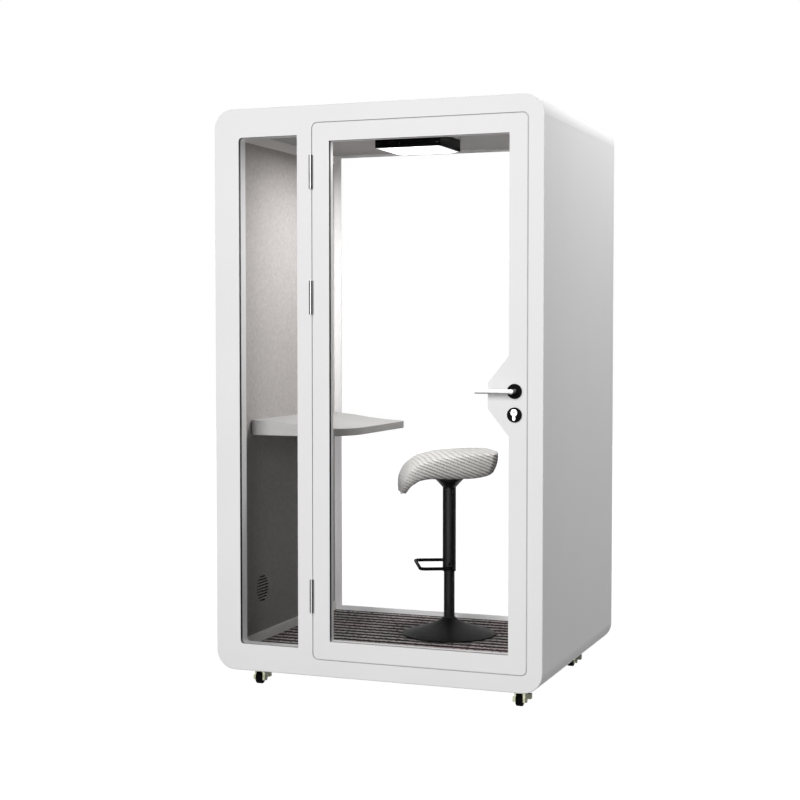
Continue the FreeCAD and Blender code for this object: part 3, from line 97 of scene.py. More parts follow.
class BoothColours(bpy.types.PropertyGroup):
    """Colours of the booth's finishes."""

    coat: colour_property("Frame coat", "White powder coat of the frames and sheets", (0.862, 0.853, 0.859))
    felt: colour_property("Felt", "Pressed felt of the inner walls", (0.44, 0.416, 0.404))
    trim: colour_property("Strips", "Skirting and cornice strips", (0.90, 0.885, 0.87))
    desk: colour_property("Desk", "Laminate of the desk", (0.445, 0.438, 0.432))
    black: colour_property("Black coat", "Black powder coat of the stool", (0.010, 0.010, 0.0105))
    seat: colour_property("Seat fabric", "Knitted fabric of the stool's seat", (0.60, 0.587, 0.568))
    carpet_dark: colour_property("Carpet ground", "Dark yarn of the carpet", (0.016, 0.014, 0.015))
    carpet_pale: colour_property("Carpet line", "Pale yarn of the carpet", (0.56, 0.52, 0.50))
    zinc: colour_property("Zinc", "Olive zinc of the casters", (0.60, 0.62, 0.44))


class BoothStage(bpy.types.PropertyGroup):
    """Camera and lights."""

    eye: FloatVectorProperty(
        name="Camera", description="Where the camera stands", default=(2.2492, -6.1748, 1.4254), size=3,
        subtype="TRANSLATION", unit="LENGTH"
    )
    tilt: angle_property("Tilt", "Camera's angle from straight down", 87.456)
    turn: angle_property("Turn", "Camera's angle about the upright", 20.774)
    lens: FloatProperty(name="Lens", description="Focal length", default=70.76, min=1.0, unit="CAMERA")
    sky: power_property("Sky", "Strength of the even light from all round", 0.075)
    key: power_property("Front light", "Power of the large front light", 790.0)
    side: power_property("Side light", "Power of the light over the right side", 66.0)
    fill: power_property("Fill light", "Power of the far light on the right", 74.0)
    lamp: power_property("Ceiling light", "Power of the ceiling light", 13.2)


def colours():
    """The scene's colour values."""
    return bpy.context.scene.booth_colours


def stage_values():
    """The scene's camera and light values."""
    return bpy.context.scene.booth_stage


# Node materials


class Finish:
    """A material with one principled shader; plain values go straight to the shader's own
    sockets, and patterns are added as nodes."""

    def __init__(self, name, colour, roughness, **values):
        self.material = bpy.data.materials.new(name)
        self.material.use_nodes = True
        self.tree = self.material.node_tree
        self.shader = self.tree.nodes["Principled BSDF"]
        self.shader.inputs["Base Color"].default_value = (*colour, 1.0)
        self.shader.inputs["Roughness"].default_value = roughness
        self.material.diffuse_color = (*colour, 1.0)
        for key, value in values.items():
            self.shader.inputs[key.replace("_", " ")].default_value = value

    def node(self, kind, **settings):
        """A new node with its settings; a setting that names an input goes to that input."""
        node = self.tree.nodes.new(kind)
        for key, value in settings.items():
            if hasattr(node, key):
                setattr(node, key, value)
            else:
                node.inputs[key.replace("_", " ")].default_value = value
        return node

    def link(self, source, target):
        """Join an output to an input."""
        self.tree.links.new(source, target)

    def place(self, stretch=(1.0, 1.0, 1.0)):
        """Coordinates of the piece in metres, stretched along its axes."""
        source = self.node("ShaderNodeTexCoord")
        mapping = self.node("ShaderNodeMapping")
        mapping.inputs["Scale"].default_value = stretch
        self.link(source.outputs["Object"], mapping.inputs["Vector"])
        return mapping.outputs["Vector"]

    def noise(self, scale, detail=3.0, roughness=0.5, stretch=(1.0, 1.0, 1.0)):
        """Smooth random pattern with this many patches to the metre."""
        noise = self.node("ShaderNodeTexNoise", Scale=scale, Detail=detail, Roughness=roughness)
        self.link(self.place(stretch), noise.inputs["Vector"])
        return noise.outputs["Fac"]

    def ramp(self, value, stops):
        """Values mapped to colours; a stop is a position and a colour or a grey level."""
        ramp = self.node("ShaderNodeValToRGB")
        elements = ramp.color_ramp.elements
        while len(elements) < len(stops):
            elements.new(0.5)
        for element, (position, tone) in zip(elements, stops):
            element.position = position
            element.color = (tone, tone, tone, 1.0) if isinstance(tone, float) else (*tone, 1.0)
        self.link(value, ramp.inputs["Fac"])
        return ramp.outputs["Color"]

    def scaled(self, value, factor, offset=0.0):
        """value times factor plus offset."""
        node = self.node("ShaderNodeMath", operation="MULTIPLY_ADD")
        self.link(value, node.inputs[0])
        node.inputs[1].default_value = factor
        node.inputs[2].default_value = offset
        return node.outputs[0]

    def total(self, first, second, operation="ADD"):
        """Two values joined by an operation."""
        node = self.node("ShaderNodeMath", operation=operation)
        self.link(first, node.inputs[0])
        self.link(second, node.inputs[1])
        return node.outputs[0]

    def coordinate(self, axis):
        """One coordinate of the piece in metres."""
        sides = self.node("ShaderNodeSeparateXYZ")
        self.link(self.place(), sides.inputs["Vector"])
        return sides.outputs[axis]

    def share_along(self, axis, node):
        """Share of a CAD node's box that is passed along an axis."""
        low, high = (getattr(corner, axis.lower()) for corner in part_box(node))
        return self.scaled(self.coordinate(axis), 1.0 / (high - low), -low / (high - low))

    def mixed(self, factor, first, second, kind="MIX"):
        """Two colours mixed; the factor, and each colour, is a socket or a constant."""
        mix = self.node("ShaderNodeMix", data_type="RGBA", blend_type=kind)
        for value, place in ((factor, "Factor"), (first, 6), (second, 7)):
            target = mix.inputs[place]
            if isinstance(value, bpy.types.NodeSocket):
                self.link(value, target)
            else:
                target.default_value = value
        return mix.outputs[2]

    def colour(self, socket):
        """Colour that follows a pattern."""
        self.link(socket, self.shader.inputs["Base Color"])

    def rough(self, value, low, high):
        """Roughness that follows a pattern between two levels."""
        self.link(self.scaled(value, high - low, low), self.shader.inputs["Roughness"])

    def relief(self, height, depth, eased=0.0):
        """Bump of a depth in metres, over edges eased by a radius."""
        bump = self.node("ShaderNodeBump", Strength=1.0, Distance=depth)
        self.link(height, bump.inputs["Height"])
        if eased > 0.0:
            bevel = self.node("ShaderNodeBevel", samples=6, Radius=eased)
            self.link(bevel.outputs["Normal"], bump.inputs["Normal"])
        self.link(bump.outputs["Normal"], self.shader.inputs["Normal"])


def shade(colour, factor):
    """A colour made lighter or darker."""
    return tuple(min(1.0, channel * factor) for channel in colour)


def powder_coat(name, colour, roughness, grain, eased, shine=0.12):
    """Powder coat: fine orange peel, faint patches and eased edges."""
    finish = Finish(name, colour, roughness, Specular_IOR_Level=shine)
    peel = finish.noise(grain, detail=1.0)
    patches = finish.noise(3.0, detail=2.0)
    finish.colour(finish.ramp(patches, [(0.3, shade(colour, 0.985)), (0.7, shade(colour, 1.01))]))
    finish.rough(patches, roughness - 0.04, roughness + 0.05)
    finish.relief(peel, 0.00002, eased)
    return finish.material


def white_coat():
    """Coat of the frames, the door and the outer sheets."""
    return powder_coat("white_coat", colours().coat, 0.42, 700.0, 0.0015)


def matt_black():
    """Dull black coat of the roses, the footrest and the desk brackets."""
    return powder_coat("matt_black", shade(colours().black, 0.35), 0.6, 900.0, 0.0008, shine=0.03)


def base_black():
    """Black coat of the stool's base."""
    return powder_coat("base_black", shade(colours().black, 0.6), 0.5, 900.0, 0.0008, shine=0.08)


def housing_black():
    """Dull black coat of the light's housing."""
    return powder_coat("housing_black", shade(colours().black, 0.2), 0.7, 900.0, 0.0005, shine=0.03)


def satin_black():
    """Black coat of the stool's tubes, with a dull shine."""
    return powder_coat("satin_black", colours().black, 0.34, 500.0, 0.0008, shine=0.22)


def trim_coat():
    """Coat of the skirting and cornice strips."""
    return powder_coat("trim_coat", colours().trim, 0.5, 900.0, 0.001)


def floor_primer():
    """Grey coat of the floor frame."""
    return powder_coat("floor_primer", (0.16, 0.16, 0.165), 0.55, 800.0, 0.001)


def pressed_felt():
    """Felt: fine specks, longer fibres and a soft nap, with painted shade low down under the desk and
    within the air slots.
    """
    colour = colours().felt
    finish = Finish("pressed_felt", colour, 0.95, Sheen_Weight=0.25, Sheen_Roughness=0.6,
                    Specular_IOR_Level=0.15)
    specks = finish.noise(300.0, detail=4.0, roughness=0.75)
    clouds = finish.noise(70.0, detail=5.0, roughness=0.7)
    fibres = finish.total(finish.scaled(specks, 0.6), finish.scaled(clouds, 0.4))
    tones = finish.ramp(fibres, [(0.36, shade(colour, 0.74)), (0.5, colour), (0.64, shade(colour, 1.28))])
    # Painted shade: the felt is darkened below the desk's underside, where the desk shades it.
    height = finish.scaled(finish.coordinate("Z"), 1.0, 0.5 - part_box("desk_top")[0].z)
    painted_desk_shade = finish.ramp(height, [(0.46, 0.6), (0.55, 1.0)])
    # Painted shade within the air slots: the felt's cut sides are darkened from where they start.
    sideways = finish.node("ShaderNodeMath", operation="ABSOLUTE")
    finish.link(finish.coordinate("X"), sideways.inputs[0])
    cut_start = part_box("felt_panels")[1].x - FELT_CUT
    depth = finish.scaled(sideways.outputs[0], 100.0, -100.0 * cut_start)
    painted_slot_shade = finish.ramp(depth, [(0.0, 1.0), (0.15, 0.04)])
    painted_shade = finish.total(painted_desk_shade, painted_slot_shade, "MULTIPLY")
    finish.colour(finish.mixed(1.0, tones, painted_shade, "MULTIPLY"))
    finish.relief(specks, 0.0003)
    return finish.material


def ribbed_carpet():
    """Carpet: dark loops, with pale yarn in dashes along some rows that turns rosy in places."""
    values = colours()
    finish = Finish("ribbed_carpet", values.carpet_dark, 0.97, Specular_IOR_Level=0.1,
                    Sheen_Weight=0.1, Sheen_Roughness=0.5)
    pale = finish.node("ShaderNodeAttribute", attribute_name="pale_yarn")
    fibre = finish.noise(900.0, detail=3.0, roughness=0.7)
    dashes = finish.noise(70.0, detail=2.0, roughness=0.6, stretch=(1.0, 2.0, 0.0))
    rosy = finish.noise(4.0, detail=2.0)
    broken = finish.total(pale.outputs["Fac"], finish.scaled(dashes, 5.0, -1.7), "MULTIPLY")
    speckled = finish.total(broken, finish.scaled(fibre, 0.6, -0.3))
    tint = finish.mixed(finish.ramp(rosy, [(0.45, 0.0), (0.62, 1.0)]), (*values.carpet_pale, 1.0),
                        (0.60, 0.48, 0.49, 1.0))
    shown = finish.ramp(speckled, [(0.15, 0.0), (0.75, 1.0)])
    finish.colour(finish.mixed(shown, (*values.carpet_dark, 1.0), tint))
    finish.relief(fibre, 0.0015)
    return finish.material


def clear_glass():
    """Clear tempered glass that lets lamps' light through."""
    finish = Finish("clear_glass", (0.97, 0.99, 0.985), 0.0, IOR=1.0, Alpha=0.04,
                    Transmission_Weight=1.0, Coat_Weight=0.3, Coat_IOR=1.6, Coat_Roughness=0.01)
    haze = finish.noise(6.0, detail=2.0)
    finish.rough(haze, 0.0, 0.02)
    return finish.material


def gasket_rubber(name, pane, head_painted_light):
    """Rubber of the fixed panes and the door: black in front, with painted light that makes it pale at the
    sills and of a given painted tone at the heads, grey at the back window."""
    finish = Finish(name, (0.018, 0.018, 0.018), 0.7, Specular_IOR_Level=0.2)
    grain = finish.noise(1500.0, detail=2.0)
    back = finish.ramp(finish.coordinate("Y"), [(0.0, 0.02), (0.3, 0.5)])
    # Painted light over the pane's height: a pale band at the sill, black, then the heads' painted tone.
    tones = [(0.006, 0.34), (0.01, 0.01), (0.45, 0.02), (0.9, head_painted_light)]
    finish.colour(finish.total(back, finish.ramp(finish.share_along("Z", pane), tones), "MAXIMUM"))
    finish.rough(grain, 0.6, 0.8)
    finish.relief(grain, 0.0001, 0.0008)
    return finish.material


def satin_steel():
    """Brushed steel of the lock and the screws: fine upright lines."""
    colour = (0.62, 0.62, 0.63)
    finish = Finish("satin_steel", colour, 0.22, Metallic=1.0)
    lines = finish.noise(300.0, detail=3.0, roughness=0.6, stretch=(1.0, 1.0, 0.05))
    finish.colour(finish.ramp(lines, [(0.3, shade(colour, 0.85)), (0.7, shade(colour, 1.1))]))
    finish.rough(lines, 0.16, 0.3)
    finish.relief(lines, 0.00006, 0.0006)
    return finish.material


def hinge_steel():
    """Hinge steel with a painted reflection: a painted highlight along the knuckles' crest and painted
    shade towards both sides.
    """
    finish = Finish("hinge_steel", (0.5, 0.5, 0.5), 0.45, Metallic=0.3, Specular_IOR_Level=0.3)
    # Painted reflection across the hinges' width: painted shade, the crest's painted highlight, then
    # painted shade.
    tones = [(0.0, 0.05), (0.5, 0.07), (0.56, 0.9), (0.7, 0.9), (0.74, 0.01), (0.94, 0.01), (0.98, 0.4)]
    finish.colour(finish.ramp(finish.share_along("X", "hinge_pins"), tones))
    finish.relief(finish.noise(900.0, detail=1.0), 0.00002)
    return finish.material


def satin_nickel(name, node, tones):
    """Satin plating, half of whose light is scattered, with painted shade and painted highlights in tones
    over the height of a node.
    """
    finish = Finish(name, (0.86, 0.86, 0.86), 0.3, Metallic=0.5, Specular_IOR_Level=0.6)
    finish.colour(finish.ramp(finish.share_along("Z", node), tones))
    lines = finish.noise(400.0, detail=3.0, roughness=0.6, stretch=(0.1, 1.0, 1.0))
    finish.rough(lines, 0.24, 0.38)
    finish.relief(lines, 0.00003, 0.0006)
    return finish.material


def polished_chrome():
    """Chrome of the gas spring's rod."""
    finish = Finish("polished_chrome", (0.78, 0.78, 0.79), 0.12, Metallic=1.0)
    smears = finish.noise(40.0, detail=3.0)
    finish.rough(smears, 0.06, 0.2)
    finish.relief(smears, 0.00005, 0.0008)
    return finish.material


def yellow_zinc(name, node, bright_share):
    """Zinc plating with its uneven golden tint, bright over a share of a node's width and dark
    beyond it, where the brake stands in the fork's shade."""
    colour = colours().zinc
    finish = Finish(name, colour, 0.35, Metallic=0.55)
    clouds = finish.noise(90.0, detail=4.0)
    tint = finish.ramp(clouds, [(0.3, shade(colour, 0.75)), (0.55, colour), (0.75, (0.66, 0.68, 0.52))])
    painted_shade = finish.ramp(finish.share_along("X", node), [(bright_share, 1.0), (bright_share + 0.03, 0.22)])
    finish.colour(finish.mixed(1.0, tint, painted_shade, "MULTIPLY"))
    finish.rough(clouds, 0.25, 0.45)
    finish.relief(clouds, 0.0002, 0.0006)
    return finish.material


def desk_laminate():
    """Pale laminate with a faint fleck and a fine matt grain."""
    colour = colours().desk
    finish = Finish("desk_laminate", colour, 0.48, Specular_IOR_Level=0.2)
    flecks = finish.noise(240.0, detail=4.0, roughness=0.75, stretch=(0.25, 1.0, 1.0))
    finish.colour(finish.ramp(flecks, [(0.3, shade(colour, 0.93)), (0.7, shade(colour, 1.05))]))
    finish.rough(flecks, 0.42, 0.55)
    finish.relief(flecks, 0.00008, 0.002)
    return finish.material


def opal_diffuser():
    """Opal plate that shines white; its light comes from the lamp under it."""
    finish = Finish("opal_diffuser", (0.3, 0.3, 0.3), 0.6, Emission_Strength=0.97)
    finish.shader.inputs["Emission Color"].default_value = (1.0, 1.0, 1.0, 1.0)
    finish.relief(finish.noise(500.0, detail=2.0), 0.0001)
    return finish.material


def moulded_plastic(name, colour, roughness, shine=0.5):
    """Moulded plastic with a fine spark-eroded grain."""
    finish = Finish(name, colour, roughness, Specular_IOR_Level=shine)
    grain = finish.noise(1800.0, detail=2.0)
    finish.rough(grain, roughness - 0.05, roughness + 0.08)
    finish.relief(grain, 0.00008, 0.001)
    return finish.material


def lining_board():
    """White ceiling board with a fine texture."""
    finish = Finish("lining_board", (0.46, 0.45, 0.445), 0.7, Specular_IOR_Level=0.15)
    grain = finish.noise(350.0, detail=4.0, roughness=0.7)
    finish.colour(finish.ramp(grain, [(0.3, (0.44, 0.43, 0.424)), (0.7, (0.5, 0.489, 0.482))]))
    finish.relief(grain, 0.0002, 0.001)
    return finish.material


def birch_plywood():
    """Plywood: long grain on the faces, thin plies at the edges."""
    finish = Finish("birch_plywood", (0.60, 0.44, 0.28), 0.6)
    grain = finish.noise(30.0, detail=5.0, roughness=0.65, stretch=(0.3, 6.0, 12.0))
    finish.colour(finish.ramp(grain, [(0.3, (0.50, 0.35, 0.21)), (0.7, (0.68, 0.52, 0.35))]))
    finish.relief(grain, 0.0002)
    return finish.material


def acoustic_foam():
    """Dark foam of the walls' filling, with open cells."""
    finish = Finish("acoustic_foam", (0.07, 0.07, 0.072), 0.95)
    cells = finish.noise(500.0, detail=3.0)
    finish.colour(finish.ramp(cells, [(0.35, 0.03), (0.7, 0.1)]))
    finish.relief(cells, 0.001)
    return finish.material


def circuit_board():
    """White board with rows of small yellow light sources."""
    finish = Finish("circuit_board", (0.82, 0.83, 0.81), 0.4)
    cells = finish.node("ShaderNodeTexVoronoi", Scale=60.0, Randomness=0.0)
    finish.link(finish.place(), cells.inputs["Vector"])
    tones = [(0.18, (0.85, 0.72, 0.2)), (0.22, (0.8, 0.81, 0.79))]
    finish.colour(finish.ramp(cells.outputs["Distance"], tones))
    return finish.material


def seat_cloth():
    """Knitted fabric: rows of stitches along the ribs, painted shade in the valleys and a painted highlight
    on the crests, with slubs.
    """
    colour = colours().seat
    finish = Finish("seat_cloth", colour, 0.92, Sheen_Weight=0.25, Sheen_Roughness=0.5,
                    Specular_IOR_Level=0.15)
    rib = finish.node("ShaderNodeAttribute", attribute_name="rib")
    source = finish.node("ShaderNodeUVMap", uv_map="cloth")
    waves = []
    for direction, scale, bend in (("Y", 36.0, 5.0), ("X", 25.0, 6.0)):
        wave = finish.node("ShaderNodeTexWave", bands_direction=direction, Scale=scale, Distortion=bend,
                           Detail=2.0, Detail_Scale=3.0)
        finish.link(source.outputs["UV"], wave.inputs["Vector"])
        waves.append(wave.outputs["Fac"])
    stitches = finish.total(waves[0], waves[1], "MULTIPLY")
    slubs = finish.noise(150.0, detail=3.0, roughness=0.75)
    tone = finish.total(finish.scaled(stitches, 0.3), finish.scaled(slubs, 1.1, -0.6))
    # The rib's height paints shade into the valleys and a highlight onto the crests.
    lit = finish.total(tone, rib.outputs["Fac"])
    tones = [(0.05, shade(colour, 0.3)), (0.32, shade(colour, 0.72)), (0.6, colour),
             (1.0, shade(colour, 1.2))]
    finish.colour(finish.ramp(lit, tones))
    finish.relief(stitches, 0.0007)
    return finish.material


def rays_that_show_white(tree):
    """1 for rays from the camera, in mirrors and through glass, otherwise 0."""
    path = tree.nodes.new("ShaderNodeLightPath")
    seen = path.outputs["Is Camera Ray"]
    for kind in ("Is Glossy Ray", "Is Transmission Ray"):
        either = tree.nodes.new("ShaderNodeMath")
        either.operation = "MAXIMUM"
        tree.links.new(seen, either.inputs[0])
        tree.links.new(path.outputs[kind], either.inputs[1])
        seen = either.outputs[0]
    return seen


# Surfaces


def add_piece(name, points, faces, smooth_angle=35.0):
    """A smooth mesh object from an array of points and a list of faces, with sharp edges over
    an angle."""
    mesh = bpy.data.meshes.new(name)
    mesh.from_pydata(points.tolist(), [], faces)
    mesh.validate()
    mesh.polygons.foreach_set("use_smooth", np.ones(len(mesh.polygons), bool))
    mesh.set_sharp_from_angle(angle=math.radians(smooth_angle))
    piece = bpy.data.objects.new(name, mesh)
    bpy.context.scene.collection.objects.link(piece)
    return piece


def grid_quads(rows, columns, closed=False):
    """Quads of a grid of points stored row by row; closed joins the last column to the
    first."""
    across = columns if closed else columns - 1
    row, column = np.meshgrid(np.arange(rows - 1), np.arange(across), indexing="ij")
    following = (column + 1) % columns
    return np.stack(
        [row * columns + column, row * columns + following, (row + 1) * columns + following,
         (row + 1) * columns + column], axis=-1
    ).reshape(-1, 4)


def smooth_table(at, stations, values):
    """Cubic Hermite curve through a table, with slopes from the neighbours' differences."""
    stations, values = np.array(stations, float), np.array(values, float)
    slopes = np.gradient(values, stations)
    index = np.clip(np.searchsorted(stations, at, side="right") - 1, 0, len(stations) - 2)
    span = stations[index + 1] - stations[index]
    t = (at - stations[index]) / span
    return (
        (2 * t ** 3 - 3 * t ** 2 + 1) * values[index]
        + (t ** 3 - 2 * t ** 2 + t) * span * slopes[index]
        + (3 * t ** 2 - 2 * t ** 3) * values[index + 1]
        + (t ** 3 - t ** 2) * span * slopes[index + 1]
    )


def finish_nodes(material, *names):
    """Give CAD nodes a material."""
    for name in names:
        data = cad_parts[name].data
        data.materials.clear()
        data.materials.append(material)


def finish_piece(piece, material, slot, body, *nodes):
    """Give a new piece its material and the body that it rides on, in place of the CAD nodes
    that it stands for. The slot is not used."""
    piece.data.materials.clear()
    piece.data.materials.append(material)
    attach(piece, body)
    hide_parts(*nodes)


# Pieces


class BOOTH_OT_shell(bpy.types.Operator):
    """Coat the frames, the corner profiles and the outer sheets."""

    bl_idname = "booth.shell"
    bl_label = "Shell"

    def execute(self, context):
        finish_nodes(white_coat(), "front_frame", "back_frame", "corner_posts", "outer_skins",
                     "door_frame")
        finish_nodes(lining_board(), "ceiling_panel")
        finish_nodes(trim_coat(), "trim_strips")
        finish_nodes(floor_primer(), "base_frame")
        finish_nodes(birch_plywood(), "floor_deck")
        finish_nodes(acoustic_foam(), "insulation")
        return {"FINISHED"}


class BOOTH_OT_felt(bpy.types.Operator):
    """Cover the inner walls with felt."""

    bl_idname = "booth.felt"
    bl_label = "Felt walls"

    def execute(self, context):
        finish_nodes(pressed_felt(), "felt_panels")
        return {"FINISHED"}


class BOOTH_OT_carpet(bpy.types.Operator):
    """Lay the ribbed carpet: rows of loops across the booth, some with pale yarn."""

    bl_idname = "booth.carpet"
    bl_label = "Carpet"

    rib_pitch: length_property("Rib pitch", "Distance from rib to rib", 0.0085)
    rib_height: length_property("Rib height", "Height of a rib over the ground", 0.0022)
    stripe_pitch: length_property("Stripe pitch", "Distance from pale line to pale line", 0.0575)
    pressed: length_property("Pressed border", "Width of the flattened loops round the stool", 0.012)

    def execute(self, context):
        low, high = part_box("carpet")
        ribs = int((high.y - low.y) / self.rib_pitch)
        y = np.linspace(low.y + CARPET_EDGE, high.y - CARPET_EDGE, ribs * 6 + 1)
        x = np.linspace(low.x + CARPET_EDGE, high.x - CARPET_EDGE, 60)
        grid_x, grid_y = np.meshgrid(x, y)
        phase = (grid_y - low.y) / self.rib_pitch
        crown = np.abs(np.sin(np.pi * phase)) ** 0.7
        waver = 0.25 * np.sin(grid_x * 37.0 + np.floor(phase) * 1.7)
        foot_low, foot_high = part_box("stool_base")
        away = np.hypot(grid_x - (foot_low.x + foot_high.x) / 2, grid_y - (foot_low.y + foot_high.y) / 2)
        free = np.clip((away - (foot_high.x - foot_low.x) / 2 - self.pressed) / self.pressed, 0.0, 1.0)
        z = high.z - self.rib_height * (1.0 - free * crown * (0.9 + 0.1 * waver))
        stripe = np.abs(((grid_y - low.y) / self.stripe_pitch) % 1.0 - 0.5) * 2.0
        pale = np.clip((stripe - 0.50) * 5.0, 0.0, 1.0) * (0.7 + 0.3 * crown)
        inner = np.stack([grid_x, grid_y, z], axis=-1)
        ring = np.empty((len(y) + 2, len(x) + 2, 3))
        ring[1:-1, 1:-1] = inner
        ring[0, 1:-1] = inner[0] * (1, 0, 0) + (0, low.y, low.z)
        ring[-1, 1:-1] = inner[-1] * (1, 0, 0) + (0, high.y, low.z)
        ring[:, 0] = ring[:, 1] * (0, 1, 0) + (low.x, 0, low.z)
        ring[:, -1] = ring[:, -2] * (0, 1, 0) + (high.x, 0, low.z)
        rows, columns = ring.shape[:2]
        quads = grid_quads(rows, columns)
        rim = np.concatenate([
            np.arange(columns), np.arange(1, rows) * columns + columns - 1,
            (rows - 1) * columns + np.arange(columns - 2, -1, -1), np.arange(rows - 2, 0, -1) * columns,
        ])
        piece = add_piece("carpet_loops", ring.reshape(-1, 3), quads.tolist() + [rim[::-1].tolist()])
        shown = np.zeros((rows, columns))
        shown[1:-1, 1:-1] = pale
        attribute = piece.data.attributes.new("pale_yarn", "FLOAT", "POINT")
        attribute.data.foreach_set("value", shown.ravel().astype(np.float32))
        finish_piece(piece, ribbed_carpet(), "carpet", "booth", "carpet")
        return {"FINISHED"}


class BOOTH_OT_glazing(bpy.types.Operator):
    """Glaze the door, the side window and the back, with their gaskets and the door seal."""

    bl_idname = "booth.glazing"
    bl_label = "Glazing"

    def execute(self, context):
        finish_nodes(clear_glass(), "door_glass", "sidelight_glass", "back_glass")
        # The last value is the painted light on the gaskets' heads.
        finish_nodes(gasket_rubber("door_rubber", "door_glass", 0.02), "door_gasket")
        finish_nodes(gasket_rubber("window_rubber", "sidelight_glass", 0.25), "glazing_gaskets")
        finish_nodes(moulded_plastic("grey_rubber", (0.62, 0.62, 0.615), 0.75), "door_seal")
        return {"FINISHED"}


class BOOTH_OT_door_hardware(bpy.types.Operator):
    """Finish the hinges, the lock, the roses, the levers and the screws."""

    bl_idname = "booth.door_hardware"
    bl_label = "Door hardware"

    def execute(self, context):
        finish_nodes(satin_steel(), "strike_plate", "lock_case", "latch_bolt", "dead_bolt", "spindle",
                     "door_screws", "frame_screws")
        finish_nodes(hinge_steel(), "hinge_leaves_frame", "hinge_leaves_door", "hinge_pins")
        finish_nodes(matt_black(), "door_roses")
        # Painted shade along the lever's underside and a painted highlight on its top.
        tones = [(0.05, 0.16), (0.3, 0.2), (0.36, 0.4), (0.5, 0.42), (0.56, 0.86), (1.0, 0.86)]
        bar = satin_nickel("lever_nickel", "lever_outside", tones)
        finish_nodes(bar, "lever_outside", "lever_inside")
        # Painted highlights and painted shade in bands over the cylinder's height.
        tones = [(0.0, 0.5), (0.12, 0.84), (0.6, 0.86), (0.72, 0.4), (0.84, 0.42), (0.92, 0.84)]
        cylinder = satin_nickel("cylinder_nickel", "key_cylinder", tones)
        finish_nodes(cylinder, "key_cylinder", "thumb_turn")
        return {"FINISHED"}


class BOOTH_OT_desk(bpy.types.Operator):
    """Finish the desk and its brackets."""

    bl_idname = "booth.desk"
    bl_label = "Desk"

    def execute(self, context):
        finish_nodes(desk_laminate(), "desk_top")
        finish_nodes(matt_black(), "desk_brackets")
        return {"FINISHED"}


class BOOTH_OT_services(bpy.types.Operator):
    """Finish the ceiling light, the fan, the light switch and the cable gland."""

    bl_idname = "booth.services"
    bl_label = "Light, fan and switch"

    def execute(self, context):
        black = moulded_plastic("black_plastic", (0.006, 0.006, 0.0065), 0.6, shine=0.1)
        white = moulded_plastic("white_plastic", (0.84, 0.84, 0.83), 0.3)
        finish_nodes(housing_black(), "light_housing")
        finish_nodes(opal_diffuser(), "light_diffuser")
        finish_nodes(circuit_board(), "led_board")
        finish_nodes(black, "fan_housing", "fan_rotor", "cable_gland")
        finish_nodes(white, "switch_plate", "light_switch")
        return {"FINISHED"}


class BOOTH_OT_casters(bpy.types.Operator):
    """Finish the four casters."""

    bl_idname = "booth.casters"
    bl_label = "Casters"

    def execute(self, context):
        tread = moulded_plastic("caster_tread", (0.002, 0.002, 0.0021), 0.7, shine=0.03)
        finish_nodes(yellow_zinc("plate_zinc", "caster_plates", PLATE_SHARE), "caster_plates")
        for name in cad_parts:
            if name.startswith("caster_fork"):
                finish_nodes(yellow_zinc(name + "_zinc", name, FORK_SHARE), name)
            if name.startswith("caster_wheel"):
                finish_nodes(tread, name)
        return {"FINISHED"}


class BOOTH_OT_stool(bpy.types.Operator):
    """Finish the stool's metal parts."""

    bl_idname = "booth.stool"
    bl_label = "Stool"

    def execute(self, context):
        finish_nodes(base_black(), "stool_base")
        finish_nodes(matt_black(), "stool_footrest")
        finish_nodes(satin_black(), "stool_column", "stool_sleeve", "stool_mount_plate", "stool_lever")
        finish_nodes(polished_chrome(), "stool_piston")
        return {"FINISHED"}


SEAT_STATIONS = (0.0, 0.053, 0.204, 0.43, 0.656, 0.819, 0.927, 0.987, 1.0)
SEAT_DROP = (0.265, 0.277, 0.305, 0.315, 0.336, 0.409, 0.568, 0.795, 0.93)
SEAT_LEAN = (-11.2, -13.5, -7.3, 2.0, 13.6, 29.4, 49.0, 71.2, 80.7)
SEAT_THICKNESS = (0.747, 0.848, 0.96, 0.989, 0.937, 0.793, 0.563, 0.346, 0.361)
SEAT_WIDTH = (0.88, 0.9, 0.954, 1.0, 0.985, 0.923, 0.841, 0.738, 0.66)
SEAT_RIDGE = (0.97, 0.96, 0.93, 0.82, 0.68, 0.6, 0.56, 0.55, 0.55)


def arc_through(a, b, c, t):
    """Points at shares t along the circles through a, b and c, given as complex arrays: the
    centre is where the sides' perpendicular bisectors meet, and the angle runs from a over
    b to c."""
    w = (c - a) / (b - a)
    centre = a + (b - a) * (w - np.abs(w) ** 2) / (w - np.conj(w))
    start = a - centre
    turn = np.angle((b - centre) / start) + np.angle((c - centre) / (b - centre))
    return centre[:, None] + start[:, None] * np.exp(1j * turn[:, None] * t[None, :])


